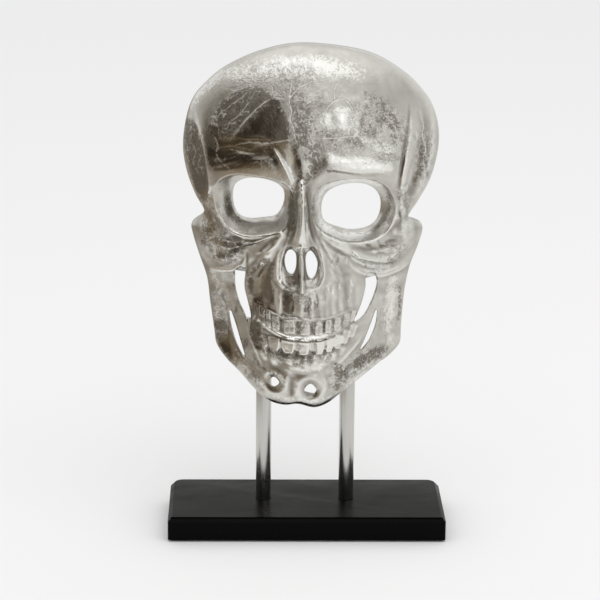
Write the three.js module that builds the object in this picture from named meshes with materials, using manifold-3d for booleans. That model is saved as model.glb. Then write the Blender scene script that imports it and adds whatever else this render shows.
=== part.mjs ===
// Skull decoration: a cast metal skull mask, open at the back, on two round rods and a wooden block.
// Millimetres, +Z up, face towards -Y. The origin is the middle of the footprint, on the table.
import * as THREE from 'three';
import { mergeVertices } from 'three/addons/utils/BufferGeometryUtils.js';
import Module from 'manifold-3d';

const wasm = await Module();
wasm.setup();

// block and pads
const blockWidth = 230;
const blockDepth = 100;
const blockThick = 19;
const blockBevel = 3.6;
const blockBackRound = 11;
const padDiameter = 20;
const padThick = 1.5;
const padInset = 16;

// rods
const rodDiameter = 12.7;
const rodSpacing = 69.6;
const rodShift = -1.1;
const rodDepthInBlock = 10;
const rodDepthInSocket = 20;
const rodChamfer = 0.8;

// skull
const skullWidth = 210;
const skullHeight = 290;
const skullDepth = 100;
const skullLift = 95.5;
const skullSetBack = 2.7;
const wall = 5;
const facePitch = 5;
const eyeDepth = 18;
const toothRound = 1.2;
const toothRoot = 5;

// sockets behind the jaw
const socketFloor = 28;
const socketHeight = 25;
const socketWall = 2.4;
const socketBackWall = 6;

// screws
const boltDiameter = 5;
const boltLength = 24;
const boltHeadDiameter = 9;
const boltHeadThick = 2.8;
const washerDiameter = 12;
const washerThick = 1;
const counterboreDepth = 5;
const hexKey = 3;
const keyDepth = 1.8;
const grubDiameter = 5;
const grubLength = 5.6;
const grubKey = 2.5;
const fit = 0.3;
const seat = 0.1;
const overrun = 2;
const mergeWithin = 0.0001;

// counts
const aroundCount = 80;
const frontRings = 27;
const sideRings = 3;
const innerRings = 9;
const innerSideRings = 2;
const softenPasses = 1;
const evenShare = 0.85;
const evenRingShare = 0.79;
const roundSteps = 32;
const curveSteps = 8;

// Shares in the front view are of half the skull's width across and of its height above the chin.
// Depths and heights out of the face are shares of its depth.
const skullMiddleShares = [0, 0.462];

// outline seen from the front: across, up, depth of the widest line, depth behind it, tuck at the back edge
const outlineShares = [
  [-0.038, 1, 0.08, 0.4, 0.1], [-0.367, 0.979, 0.08, 0.4, 0.105], [-0.652, 0.931, 0.09, 0.39, 0.085],
  [-0.83, 0.875, 0.1, 0.38, 0.065], [-0.915, 0.831, 0.1, 0.38, 0.04], [-0.962, 0.772, 0.1, 0.38, 0.04],
  [-0.979, 0.703, 0.1, 0.38, 0.04], [-0.95, 0.638, 0.09, 0.37, 0.04], [-0.89, 0.579, 0.06, 0.34, 0.04],
  [-0.813, 0.524, 0.02, 0.25, 0.045], [-0.909, 0.489, 0.04, 0.16, 0.02], [-0.903, 0.457, 0.05, 0.14, 0.01],
  [-0.857, 0.402, 0.04, 0.13, 0.01], [-0.792, 0.331, 0.03, 0.12, 0.01], [-0.768, 0.26, 0.02, 0.1, 0.01],
  [-0.735, 0.179, 0, 0.08, 0.01], [-0.716, 0.136, -0.01, 0.08, 0.01], [-0.638, 0.098, -0.06, 0.08, 0.01],
  [-0.543, 0.066, -0.1, 0.08, 0.01], [-0.448, 0.032, -0.16, 0.08, 0.02],
  [-0.357, 0.005, -0.23, 0.09, 0.02], [-0.276, -0.007, -0.29, 0.09, 0.03],
  [-0.176, -0.011, -0.33, 0.09, 0.04], [-0.076, -0.007, -0.33, 0.09, 0.04],
  [0.048, -0.017, -0.33, 0.09, 0.04], [0.148, -0.008, -0.32, 0.09, 0.03],
  [0.248, 0.015, -0.27, 0.09, 0.03], [0.352, 0.038, -0.2, 0.08, 0.02], [0.457, 0.062, -0.14, 0.08, 0.02],
  [0.562, 0.088, -0.09, 0.08, 0.01], [0.657, 0.11, -0.04, 0.08, 0.01], [0.733, 0.141, 0, 0.08, 0.01],
  [0.741, 0.19, 0.01, 0.08, 0.01], [0.762, 0.286, 0.03, 0.11, 0.01], [0.8, 0.362, 0.04, 0.13, 0.01],
  [0.87, 0.431, 0.05, 0.14, 0.01], [0.893, 0.485, 0.04, 0.16, 0.02], [0.781, 0.51, 0.02, 0.25, 0.045],
  [0.871, 0.567, 0.06, 0.34, 0.04], [0.952, 0.621, 0.09, 0.37, 0.04], [1, 0.683, 0.1, 0.38, 0.04],
  [1.013, 0.745, 0.1, 0.38, 0.04], [0.981, 0.807, 0.1, 0.38, 0.04], [0.903, 0.859, 0.1, 0.38, 0.065],
  [0.724, 0.922, 0.09, 0.39, 0.075], [0.43, 0.979, 0.08, 0.4, 0.095],
];
const faceShares = [
  [-0.021, -0.42, 0.9, 9], [0.021, -0.46, 0.96, 9], [0.066, -0.48, 1, 9], [0.117, -0.47, 1.04, 8],
  [0.169, -0.475, 1.06, 8], [0.221, -0.48, 1.06, 8], [0.272, -0.47, 0.98, 7.5], [0.331, -0.44, 0.8, 7],
  [0.393, -0.41, 0.6, 6.5], [0.462, -0.405, 0.38, 6], [0.524, -0.405, 0.26, 5.5],
  [0.583, -0.41, 0.18, 5], [0.634, -0.43, 0.12, 4.4], [0.686, -0.45, 0.09, 3.8],
  [0.755, -0.455, 0.08, 3.2], [0.841, -0.455, 0.06, 2.8], [0.945, -0.455, 0.03, 2.5],
  [1.014, -0.455, 0.02, 2.4],
];
const eyeLeftShares = [
  [-0.589, 0.579], [-0.571, 0.617], [-0.49, 0.637], [-0.381, 0.639], [-0.276, 0.63], [-0.205, 0.61],
  [-0.19, 0.583], [-0.21, 0.553], [-0.257, 0.53], [-0.343, 0.523], [-0.448, 0.517], [-0.529, 0.524],
  [-0.571, 0.545],
];
const eyeRightShares = [
  [0.095, 0.559], [0.122, 0.593], [0.2, 0.616], [0.314, 0.626], [0.429, 0.623], [0.51, 0.605],
  [0.552, 0.576], [0.552, 0.538], [0.514, 0.507], [0.438, 0.491], [0.324, 0.487], [0.214, 0.498],
  [0.114, 0.519],
];
const rimLeftShares = [
  [-0.733, 0.6], [-0.695, 0.633], [-0.581, 0.652], [-0.438, 0.657], [-0.286, 0.65], [-0.162, 0.629],
  [-0.129, 0.583], [-0.162, 0.524], [-0.286, 0.491], [-0.457, 0.474], [-0.61, 0.486], [-0.705, 0.528],
];
const rimRightShares = [
  [0, 0.579], [0.057, 0.628], [0.19, 0.648], [0.362, 0.657], [0.533, 0.645], [0.638, 0.614],
  [0.681, 0.566], [0.648, 0.507], [0.533, 0.471], [0.343, 0.457], [0.152, 0.476], [0.029, 0.514],
];
const nostrilLeftShares = [
  [-0.187, 0.409], [-0.175, 0.435], [-0.141, 0.446], [-0.103, 0.434], [-0.099, 0.398], [-0.124, 0.375],
  [-0.166, 0.381],
];
const nostrilRightShares = [
  [-0.023, 0.432], [0.01, 0.444], [0.046, 0.429], [0.067, 0.405], [0.053, 0.376], [0.023, 0.362],
  [-0.009, 0.372], [-0.025, 0.406],
];
const chinLeftShares = [
  [-0.303, 0.058], [-0.265, 0.073], [-0.223, 0.059], [-0.265, 0.045],
];
const chinRightShares = [
  [-0.029, 0.042], [0.019, 0.061], [0.067, 0.043], [0.019, 0.023],
];
const slotInnerLeftShares = [
  [-0.529, 0.371, 0.04], [-0.533, 0.324, 0.036], [-0.507, 0.279, 0.036], [-0.476, 0.248, 0.027],
  [-0.463, 0.229, 0.017],
];
const slotInnerRightShares = [
  [0.482, 0.357, 0.04], [0.49, 0.324, 0.048], [0.453, 0.279, 0.04], [0.411, 0.248, 0.032],
  [0.362, 0.23, 0.013],
];
const slotOuterLeftShares = [
  [-0.61, 0.236, 0.009], [-0.581, 0.197, 0.02], [-0.543, 0.152, 0.02], [-0.499, 0.115, 0.01],
];
const slotOuterRightShares = [
  [0.539, 0.248, 0.009], [0.514, 0.209, 0.023], [0.467, 0.169, 0.023], [0.414, 0.142, 0.01],
];
const cupShares = [
  [-0.267, 0.067, 0.1, 0.044, 0.032, 0.045], [0.021, 0.052, 0.114, 0.053, 0.034, 0.045],
];
const toothShares = [
  [-0.374, 0.257, 0.026, 0.072, 0.03, 4], [-0.322, 0.247, 0.03, 0.074, 0.03, 4],
  [-0.259, 0.237, 0.033, 0.074, 0.034, 3], [-0.185, 0.229, 0.037, 0.074, 0.032, 2],
  [-0.108, 0.226, 0.039, 0.074, 0.034, 1], [-0.002, 0.225, 0.053, 0.074, 0.034, 0],
  [0.101, 0.227, 0.037, 0.072, 0.032, -1], [0.17, 0.231, 0.031, 0.07, 0.034, -3],
  [0.232, 0.238, 0.03, 0.069, 0.032, -5], [0.293, 0.25, 0.028, 0.067, 0.03, -7],
  [-0.395, 0.174, 0.029, 0.057, 0.026, 14], [-0.347, 0.184, 0.029, 0.053, 0.028, 10],
  [-0.276, 0.174, 0.035, 0.055, 0.03, 4], [-0.164, 0.17, 0.05, 0.055, 0.032, 0],
  [-0.038, 0.168, 0.05, 0.055, 0.032, 0], [0.05, 0.169, 0.033, 0.055, 0.03, 0],
  [0.131, 0.172, 0.042, 0.057, 0.03, -2], [0.219, 0.181, 0.04, 0.061, 0.03, -6],
  [0.295, 0.197, 0.032, 0.063, 0.028, -12], [0.357, 0.216, 0.027, 0.057, 0.024, -18],
];
const strokeShares = [
  ['soft',
    [-0.762, 0.634, 0.076, 0.03], [-0.629, 0.669, 0.086, 0.05], [-0.457, 0.683, 0.095, 0.06],
    [-0.267, 0.672, 0.086, 0.06], [-0.152, 0.645, 0.076, 0.05]],
  ['soft',
    [0.695, 0.628, 0.076, 0.03], [0.571, 0.666, 0.086, 0.05], [0.381, 0.679, 0.095, 0.06],
    [0.171, 0.669, 0.086, 0.05], [0.029, 0.645, 0.076, 0.045]],
  ['soft', [-0.057, 0.641, 0.095, 0.03], [-0.057, 0.676, 0.114, 0.05]],
  ['soft', [-0.257, 0.741, 0.057, 0.02], [-0.2, 0.703, 0.052, 0.05], [-0.133, 0.652, 0.048, 0.045]],
  ['soft', [0.171, 0.724, 0.067, 0.015], [0.076, 0.69, 0.057, 0.04], [-0.01, 0.645, 0.048, 0.045]],
  ['soft', [-0.067, 0.79, 0.067, -0.02], [-0.076, 0.721, 0.057, -0.04], [-0.076, 0.672, 0.038, -0.035]],
  ['soft', [-0.667, 0.71, 0.105, -0.02], [-0.457, 0.728, 0.114, -0.03], [-0.305, 0.721, 0.086, -0.03]],
  ['soft', [0.61, 0.71, 0.105, -0.02], [0.4, 0.724, 0.114, -0.03], [0.229, 0.717, 0.086, -0.02]],
  ['sharp',
    [-0.867, 0.817, 0.048, 0.01], [-0.829, 0.772, 0.048, 0.03], [-0.795, 0.724, 0.048, 0.045],
    [-0.776, 0.672, 0.048, 0.05], [-0.767, 0.621, 0.048, 0.05], [-0.79, 0.569, 0.057, 0.05],
    [-0.81, 0.51, 0.057, 0.04]],
  ['soft',
    [-0.905, 0.79, 0.076, -0.02], [-0.886, 0.721, 0.076, -0.05], [-0.871, 0.652, 0.086, -0.06],
    [-0.857, 0.593, 0.057, -0.05]],
  ['sharp',
    [0.714, 0.862, 0.048, 0.015], [0.71, 0.793, 0.048, 0.035], [0.686, 0.721, 0.048, 0.04],
    [0.667, 0.662, 0.048, 0.04], [0.686, 0.614, 0.048, 0.045], [0.714, 0.566, 0.057, 0.05],
    [0.752, 0.51, 0.057, 0.04]],
  ['soft',
    [0.781, 0.852, 0.067, -0.03], [0.771, 0.79, 0.076, -0.05], [0.752, 0.721, 0.076, -0.06],
    [0.743, 0.655, 0.076, -0.06], [0.762, 0.6, 0.057, -0.05]],
  ['soft',
    [0.876, 0.848, 0.067, 0.02], [0.905, 0.79, 0.076, 0.03], [0.886, 0.721, 0.076, 0.03],
    [0.838, 0.652, 0.067, 0.02]],
  ['soft',
    [-0.752, 0.607, 0.048, 0.035], [-0.733, 0.545, 0.048, 0.045], [-0.657, 0.497, 0.057, 0.04],
    [-0.486, 0.471, 0.057, 0.04], [-0.314, 0.483, 0.057, 0.03], [-0.171, 0.51, 0.057, 0.02]],
  ['soft',
    [0.695, 0.586, 0.048, 0.03], [0.676, 0.524, 0.048, 0.045], [0.571, 0.469, 0.057, 0.04],
    [0.362, 0.45, 0.057, 0.04], [0.152, 0.467, 0.057, 0.03], [0.029, 0.503, 0.057, 0.02]],
  ['soft',
    [-0.067, 0.634, 0.048, 0.04], [-0.065, 0.6, 0.052, 0.07], [-0.067, 0.541, 0.071, 0.1],
    [-0.07, 0.493, 0.1, 0.12], [-0.072, 0.471, 0.11, 0.1]],
  ['sharp', [-0.114, 0.607, 0.024, -0.014], [-0.129, 0.548, 0.027, -0.02], [-0.171, 0.49, 0.029, -0.02]],
  ['sharp', [-0.019, 0.607, 0.024, -0.012], [-0.01, 0.548, 0.027, -0.018], [0.029, 0.49, 0.029, -0.02]],
  ['flat', [-0.143, 0.448, 0.052, -0.09], [-0.157, 0.407, 0.067, -0.11], [-0.148, 0.359, 0.071, -0.09]],
  ['flat', [0.019, 0.448, 0.052, -0.09], [0.038, 0.407, 0.067, -0.11], [0.029, 0.355, 0.076, -0.09]],
  ['soft',
    [-0.065, 0.459, 0.027, 0.09], [-0.063, 0.414, 0.032, 0.11], [-0.061, 0.366, 0.038, 0.11],
    [-0.059, 0.331, 0.048, 0.09]],
  ['soft',
    [-0.214, 0.469, 0.038, 0.02], [-0.248, 0.428, 0.038, 0.035], [-0.252, 0.376, 0.038, 0.035],
    [-0.224, 0.34, 0.038, 0.035], [-0.143, 0.326, 0.038, 0.04], [-0.067, 0.338, 0.038, 0.03]],
  ['soft',
    [0.076, 0.466, 0.038, 0.02], [0.114, 0.421, 0.038, 0.035], [0.124, 0.372, 0.038, 0.035],
    [0.105, 0.34, 0.038, 0.035], [0.029, 0.324, 0.038, 0.04], [-0.057, 0.338, 0.038, 0.03]],
  ['soft',
    [-0.81, 0.51, 0.076, 0.06], [-0.781, 0.455, 0.105, 0.09], [-0.714, 0.414, 0.105, 0.11],
    [-0.61, 0.4, 0.086, 0.1], [-0.514, 0.421, 0.067, 0.08], [-0.419, 0.448, 0.057, 0.06],
    [-0.229, 0.486, 0.048, 0.04]],
  ['soft',
    [0.771, 0.503, 0.076, 0.05], [0.752, 0.452, 0.105, 0.08], [0.676, 0.407, 0.105, 0.1],
    [0.552, 0.393, 0.086, 0.1], [0.438, 0.407, 0.067, 0.08], [0.343, 0.428, 0.057, 0.06],
    [0.19, 0.469, 0.048, 0.03]],
  ['soft', [-0.686, 0.452, 0.076, -0.04], [-0.552, 0.455, 0.067, -0.05], [-0.438, 0.472, 0.038, -0.03]],
  ['sharp',
    [-0.781, 0.383, 0.038, 0.02], [-0.686, 0.376, 0.043, 0.05], [-0.581, 0.384, 0.043, 0.05],
    [-0.505, 0.403, 0.038, 0.03]],
  ['sharp',
    [0.762, 0.393, 0.038, 0.02], [0.667, 0.366, 0.043, 0.05], [0.543, 0.364, 0.043, 0.05],
    [0.419, 0.379, 0.043, 0.04], [0.343, 0.407, 0.038, 0.02]],
  ['sharp',
    [0.343, 0.428, 0.029, 0.03], [0.438, 0.417, 0.032, 0.04], [0.552, 0.405, 0.032, 0.04],
    [0.648, 0.407, 0.029, 0.03]],
  ['soft', [-0.743, 0.338, 0.076, -0.06], [-0.61, 0.334, 0.076, -0.08], [-0.543, 0.338, 0.057, -0.06]],
  ['soft', [0.724, 0.331, 0.076, -0.05], [0.6, 0.321, 0.076, -0.08], [0.514, 0.331, 0.057, -0.06]],
  ['soft', [-0.324, 0.434, 0.076, -0.04], [-0.362, 0.386, 0.095, -0.08], [-0.4, 0.317, 0.086, -0.06]],
  ['soft', [0.229, 0.428, 0.076, -0.03], [0.276, 0.372, 0.086, -0.06], [0.314, 0.31, 0.086, -0.05]],
  ['soft', [-0.352, 0.283, 0.04, 0.026], [-0.355, 0.324, 0.04, 0.026], [-0.363, 0.366, 0.034, 0.008]],
  ['soft', [-0.238, 0.272, 0.04, 0.05], [-0.241, 0.329, 0.04, 0.05], [-0.245, 0.386, 0.034, 0.015]],
  ['soft', [-0.162, 0.259, 0.04, 0.026], [-0.165, 0.288, 0.04, 0.026], [-0.167, 0.317, 0.034, 0.008]],
  ['soft', [-0.076, 0.255, 0.04, 0.03], [-0.079, 0.284, 0.04, 0.03], [-0.078, 0.314, 0.034, 0.009]],
  ['soft', [0.029, 0.255, 0.04, 0.034], [0.026, 0.286, 0.04, 0.034], [0.029, 0.317, 0.034, 0.01]],
  ['soft', [0.1, 0.259, 0.04, 0.024], [0.097, 0.284, 0.04, 0.024], [0.103, 0.31, 0.034, 0.007]],
  ['soft', [0.171, 0.269, 0.04, 0.04], [0.169, 0.328, 0.04, 0.04], [0.177, 0.386, 0.034, 0.012]],
  ['soft', [0.243, 0.279, 0.04, 0.03], [0.24, 0.34, 0.04, 0.03], [0.25, 0.4, 0.034, 0.009]],
  ['soft', [0.314, 0.293, 0.04, 0.026], [0.311, 0.336, 0.04, 0.026], [0.324, 0.379, 0.034, 0.008]],
  ['sharp',
    [-0.438, 0.29, 0.029, 0.026], [-0.352, 0.277, 0.029, 0.03], [-0.276, 0.268, 0.029, 0.03],
    [-0.171, 0.258, 0.029, 0.03], [-0.052, 0.254, 0.029, 0.03], [0.076, 0.254, 0.029, 0.03],
    [0.19, 0.263, 0.029, 0.03], [0.276, 0.276, 0.029, 0.03], [0.343, 0.293, 0.029, 0.024]],
  ['soft',
    [-0.419, 0.224, 0.038, -0.05], [-0.343, 0.21, 0.038, -0.06], [-0.248, 0.198, 0.038, -0.05],
    [-0.133, 0.192, 0.038, -0.05], [0, 0.19, 0.038, -0.05], [0.124, 0.194, 0.038, -0.05],
    [0.229, 0.205, 0.038, -0.06], [0.324, 0.228, 0.038, -0.05]],
  ['soft',
    [-0.362, 0.236, 0.021, 0.04], [-0.305, 0.219, 0.023, 0.05], [-0.238, 0.208, 0.025, 0.05],
    [-0.152, 0.201, 0.025, 0.05], [-0.048, 0.199, 0.023, 0.04], [0.057, 0.199, 0.023, 0.04],
    [0.133, 0.203, 0.021, 0.03]],
  ['soft', [-0.343, 0.152, 0.042, 0.03], [-0.333, 0.134, 0.038, 0.024]],
  ['soft', [-0.271, 0.136, 0.042, 0.03], [-0.263, 0.119, 0.038, 0.024]],
  ['soft', [-0.138, 0.14, 0.042, 0.03], [-0.134, 0.123, 0.038, 0.024]],
  ['soft', [-0.033, 0.137, 0.042, 0.03], [-0.032, 0.119, 0.038, 0.024]],
  ['soft', [0.043, 0.137, 0.042, 0.03], [0.042, 0.12, 0.038, 0.024]],
  ['soft', [0.124, 0.142, 0.042, 0.03], [0.12, 0.125, 0.038, 0.024]],
  ['soft', [0.2, 0.145, 0.042, 0.03], [0.194, 0.128, 0.038, 0.024]],
  ['soft', [0.267, 0.159, 0.042, 0.03], [0.259, 0.141, 0.038, 0.024]],
  ['soft', [-0.143, 0.112, 0.057, 0.026], [-0.029, 0.109, 0.067, 0.034], [0.086, 0.112, 0.057, 0.026]],
  ['sharp',
    [0.448, 0.207, 0.029, 0.02], [0.371, 0.172, 0.032, 0.03], [0.305, 0.141, 0.032, 0.03],
    [0.248, 0.114, 0.032, 0.03], [0.2, 0.09, 0.032, 0.02]],
  ['sharp',
    [-0.476, 0.207, 0.029, 0.02], [-0.438, 0.169, 0.032, 0.03], [-0.4, 0.134, 0.032, 0.03],
    [-0.362, 0.107, 0.032, 0.02]],
  ['soft',
    [-0.552, 0.11, 0.067, 0.02], [-0.476, 0.081, 0.067, 0.03], [-0.39, 0.052, 0.067, 0.03],
    [-0.286, 0.026, 0.057, 0.04], [-0.19, 0.017, 0.057, 0.04], [-0.114, 0.021, 0.048, 0.02]],
  ['soft',
    [0.571, 0.131, 0.067, 0.02], [0.467, 0.105, 0.067, 0.03], [0.362, 0.076, 0.067, 0.03],
    [0.229, 0.04, 0.067, 0.03], [0.124, 0.019, 0.057, 0.04], [0.019, 0.012, 0.057, 0.04],
    [-0.057, 0.019, 0.048, 0.02]],
  ['soft', [-0.114, 0.021, 0.038, -0.04], [-0.124, 0.048, 0.038, -0.05], [-0.124, 0.086, 0.038, -0.03]],
];

const blockTop = padThick + seat + blockThick;
const chinZ = blockTop + skullLift;
const halfWidth = skullWidth / 2;
const rodRadius = rodDiameter / 2;
const rodFloor = blockTop - rodDepthInBlock;
const socketBottom = chinZ + socketFloor;
const rodTop = socketBottom + rodDepthInSocket;
const middle = place(skullMiddleShares);

function place([across, up]) {
  return { x: across * halfWidth, z: chinZ + up * skullHeight };
}

// Catmull-Rom through rows of numbers
function throughRows(rows, closed) {
  const last = rows.length - 1;
  const within = (i) => (closed ? (i + rows.length) % rows.length : Math.min(Math.max(i, 0), last));
  const pick = (i) => rows[within(i)];
  const out = [];
  for (let i = 0; i < (closed ? rows.length : last); i += 1) {
    const [a, b, c, d] = [pick(i - 1), pick(i), pick(i + 1), pick(i + 2)];
    for (let step = 0; step < curveSteps; step += 1) {
      const t = step / curveSteps;
      out.push(b.map((value, k) => {
        const square = 2 * a[k] - 5 * value + 4 * c[k] - d[k];
        const cube = 3 * value - a[k] - 3 * c[k] + d[k];
        return (2 * value + (c[k] - a[k]) * t + square * t * t + cube * t ** 3) / 2;
      }));
    }
  }
  if (!closed) out.push(rows[last]);
  return out;
}

// closed curve that is read by its direction from its middle
function loopOf(shares, centreShares) {
  const curve = throughRows(shares, true);
  const points = curve.map((row) => place(row));
  const centre = centreShares ? place(centreShares) : {
    x: points.reduce((sum, p) => sum + p.x, 0) / points.length,
    z: points.reduce((sum, p) => sum + p.z, 0) / points.length,
  };
  const rows = points.map((p, i) => ({
    angle: Math.atan2(p.z - centre.z, p.x - centre.x),
    radius: Math.hypot(p.x - centre.x, p.z - centre.z),
    extra: curve[i].slice(2),
  })).sort((a, b) => a.angle - b.angle);
  const turn = 2 * Math.PI;
  const first = { ...rows[0], angle: rows[0].angle + turn };
  const before = { ...rows[rows.length - 1], angle: rows[rows.length - 1].angle - turn };
  const ring = [before, ...rows, first];
  return { centre, points, ring };
}

function readLoop(loop, x, z, widen = 0) {
  const angle = Math.atan2(z - loop.centre.z, x - loop.centre.x);
  let i = 1;
  while (i < loop.ring.length - 1 && loop.ring[i].angle < angle) i += 1;
  const [a, b] = [loop.ring[i - 1], loop.ring[i]];
  const t = (angle - a.angle) / Math.max(b.angle - a.angle, Number.EPSILON);
  const radius = THREE.MathUtils.lerp(a.radius, b.radius, t);
  const extra = a.extra.map((value, k) => THREE.MathUtils.lerp(value, b.extra[k], t));
  return { extra, ratio: Math.hypot(x - loop.centre.x, z - loop.centre.z) / (radius + widen) };
}

// smooth value from rows of [share, values...]
function readRows(rows, share) {
  const at = THREE.MathUtils.clamp(share, rows[0][0], rows[rows.length - 1][0]);
  let i = 0;
  while (i < rows.length - 2 && rows[i + 1][0] < at) i += 1;
  const [p, q] = [rows[i], rows[i + 1]];
  const before = rows[Math.max(i - 1, 0)];
  const after = rows[Math.min(i + 2, rows.length - 1)];
  const h = q[0] - p[0];
  const t = (at - p[0]) / h;
  return p.slice(1).map((value, k) => {
    const slopeIn = (q[k + 1] - before[k + 1]) / (q[0] - before[0]);
    const slopeOut = (after[k + 1] - value) / (after[0] - p[0]);
    return (2 * t ** 3 - 3 * t * t + 1) * value + (t ** 3 - 2 * t * t + t) * h * slopeIn
      + (3 * t * t - 2 * t ** 3) * q[k + 1] + (t ** 3 - t * t) * h * slopeOut;
  });
}

const outline = loopOf(outlineShares, skullMiddleShares);
const eyes = [[eyeLeftShares, rimLeftShares], [eyeRightShares, rimRightShares]]
  .map(([hole, rim]) => ({ hole: loopOf(hole), rim: loopOf(rim) }));
const roundHoles = [nostrilLeftShares, nostrilRightShares, chinLeftShares, chinRightShares]
  .map((shares) => loopOf(shares));

const strokes = strokeShares.map(([kind, ...rows]) => ({
  kind,
  line: throughRows(rows, false).map(([across, up, radius, height]) => ({
    ...place([across, up]),
    radius: Math.max(radius * halfWidth, facePitch),
    height: height * skullDepth * Math.min(1, (radius * halfWidth) / facePitch),
  })),
}));

const falloffs = {
  soft: (q) => (1 - q * q) ** 2,
  sharp: (q) => (1 - q) ** 1.6,
  flat: (q) => (1 - q ** 4) ** 2,
};

// height that one stroke gives at a point, widened for the inner skin
function strokeHeight(stroke, x, z, widen) {
  let best = 1;
  let height = 0;
  for (let i = 0; i < stroke.line.length - 1; i += 1) {
    const [a, b] = [stroke.line[i], stroke.line[i + 1]];
    const [dx, dz] = [b.x - a.x, b.z - a.z];
    const span = Math.max(dx * dx + dz * dz, Number.EPSILON);
    const t = THREE.MathUtils.clamp(((x - a.x) * dx + (z - a.z) * dz) / span, 0, 1);
    const radius = THREE.MathUtils.lerp(a.radius, b.radius, t) + widen;
    const q = Math.hypot(x - a.x - dx * t, z - a.z - dz * t) / radius;
    if (q < best) {
      best = q;
      height = THREE.MathUtils.lerp(a.height, b.height, t) * falloffs[stroke.kind](q);
    }
  }
  return height;
}

const strokeReach = strokes.map((stroke) => {
  const box = new THREE.Box2();
  stroke.line.forEach((p) => box.expandByPoint(new THREE.Vector2(p.x, p.z)));
  return box.expandByScalar(Math.max(...stroke.line.map((p) => p.radius)) + wall);
});

// depth of the smooth head under the carving
function plainDepth(x, z) {
  const edge = readLoop(outline, x, z);
  const [front, bow, power] = readRows(faceShares, (z - chinZ) / skullHeight);
  const widest = edge.extra[0] * skullDepth + skullSetBack;
  const face = Math.min((front + bow * (x / halfWidth) ** 2) * skullDepth + skullSetBack, widest);
  const round = Math.sqrt(Math.max(0, 1 - Math.min(edge.ratio, 1) ** power));
  return { depth: widest + (face - widest) * round, ratio: edge.ratio };
}

// how much of an eye's depth is reached: none at the rim, all of it at the hole
function eyeShare(eye, x, z, widen) {
  const rim = readLoop(eye.rim, x, z, widen).ratio;
  if (rim >= 1) return 0;
  const hole = readLoop(eye.hole, x, z, widen).ratio;
  if (hole <= 1) return 1;
  return 1 - (hole - 1) / (hole - rim);
}

const cups = cupShares.map(([across, up, ring, hole, height, depth]) => ({
  ...place([across, up]),
  ring: ring * halfWidth,
  hole: hole * halfWidth,
  height: height * skullDepth,
  depth: depth * skullDepth,
}));
const cupLipShare = 0.35;

function cupHeight(cup, x, z) {
  const from = Math.hypot(x - cup.x, z - cup.z);
  const lip = cup.height * Math.exp(-(((from - cup.ring) / (cup.ring * cupLipShare)) ** 2));
  const bowl = from < cup.ring ? 1 - THREE.MathUtils.smoothstep(from, cup.hole, cup.ring) : 0;
  return lip - cup.depth * bowl;
}

// front skin: y at a place in the front view
const edgePower = 14;
const innerRidgeShare = 0.6;

function skinDepth(x, z, inner) {
  const plain = plainDepth(x, z);
  let height = 0;
  const at = new THREE.Vector2(x, z);
  strokes.forEach((stroke, i) => {
    if (!strokeReach[i].containsPoint(at)) return;
    const isRidge = stroke.line[0].height > 0;
    if (inner && isRidge) height += innerRidgeShare * strokeHeight(stroke, x, z, 0);
    else height += strokeHeight(stroke, x, z, inner ? wall / 2 : 0);
  });
  if (!inner) cups.forEach((cup) => { height += cupHeight(cup, x, z); });
  const fade = 1 - Math.min(plain.ratio, 1) ** edgePower;
  const sunk = eyes.reduce((sum, eye) => sum + eyeShare(eye, x, z, inner ? wall : 0) * eyeDepth, 0);
  return plain.depth - height * fade + sunk;
}

const edgePoints = new THREE.CatmullRomCurve3(
  outlineShares.map((row) => new THREE.Vector3(place(row).x, 0, place(row).z)), true)
  .getSpacedPoints(aroundCount).slice(0, aroundCount);

// ring position from the middle of the face, 0, to the outline, 1
function ringShare(ring, rings) {
  const t = ring / rings;
  if (t < evenRingShare) return evenShare * (t / evenRingShare);
  const past = (t - evenRingShare) / (1 - evenRingShare);
  return evenShare + (1 - evenShare) * Math.sin((past * Math.PI) / 2);
}

function skinPoint(spoke, share, inner) {
  const edge = edgePoints[spoke];
  const reach = Math.hypot(edge.x - middle.x, edge.z - middle.z);
  const scale = share * (inner ? 1 - wall / reach : 1);
  const x = middle.x + (edge.x - middle.x) * scale;
  const z = middle.z + (edge.z - middle.z) * scale;
  if (!inner) return [x, skinDepth(x, z, false), z];
  const outerX = middle.x + (edge.x - middle.x) * share;
  const outerZ = middle.z + (edge.z - middle.z) * share;
  const lag = plainDepth(outerX, outerZ).depth - plainDepth(x, z).depth;
  return [x, skinDepth(x, z, true) + wall * Math.sqrt(1 - share * share) + Math.max(lag, 0), z];
}

function sidePoint(spoke, share, inner) {
  const edge = edgePoints[spoke];
  const [widest, behind, tuck] = readLoop(outline, edge.x, edge.z).extra.map((value) => value * skullDepth);
  const reach = Math.hypot(edge.x - middle.x, edge.z - middle.z);
  const scale = 1 - (tuck * share * share + (inner ? wall : 0)) / reach;
  const depth = skullSetBack + widest + behind * share;
  return [middle.x + (edge.x - middle.x) * scale, depth, middle.z + (edge.z - middle.z) * scale];
}

// all points of one skin, ring by ring from its middle, with the steps between neighbours softened
function skinRings(count, inner) {
  let rings = [];
  for (let i = 0; i <= count; i += 1) {
    rings.push(edgePoints.map((edge, spoke) => skinPoint(spoke, ringShare(i, count), inner)));
  }
  for (let pass = 0; pass < softenPasses; pass += 1) {
    rings = rings.map((ring, row) => ring.map(([x, depth, z], spoke) => {
      if (row === 0 || row === count) return [x, depth, z];
      const left = ring[(spoke + aroundCount - 1) % aroundCount][1];
      const right = ring[(spoke + 1) % aroundCount][1];
      const near = (left + right + rings[row - 1][spoke][1] + rings[row + 1][spoke][1]) / 4;
      return [x, (depth + near) / 2, z];
    }));
  }
  return rings;
}

function sideRing(share, inner) {
  return edgePoints.map((edge, spoke) => sidePoint(spoke, share, inner));
}

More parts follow.
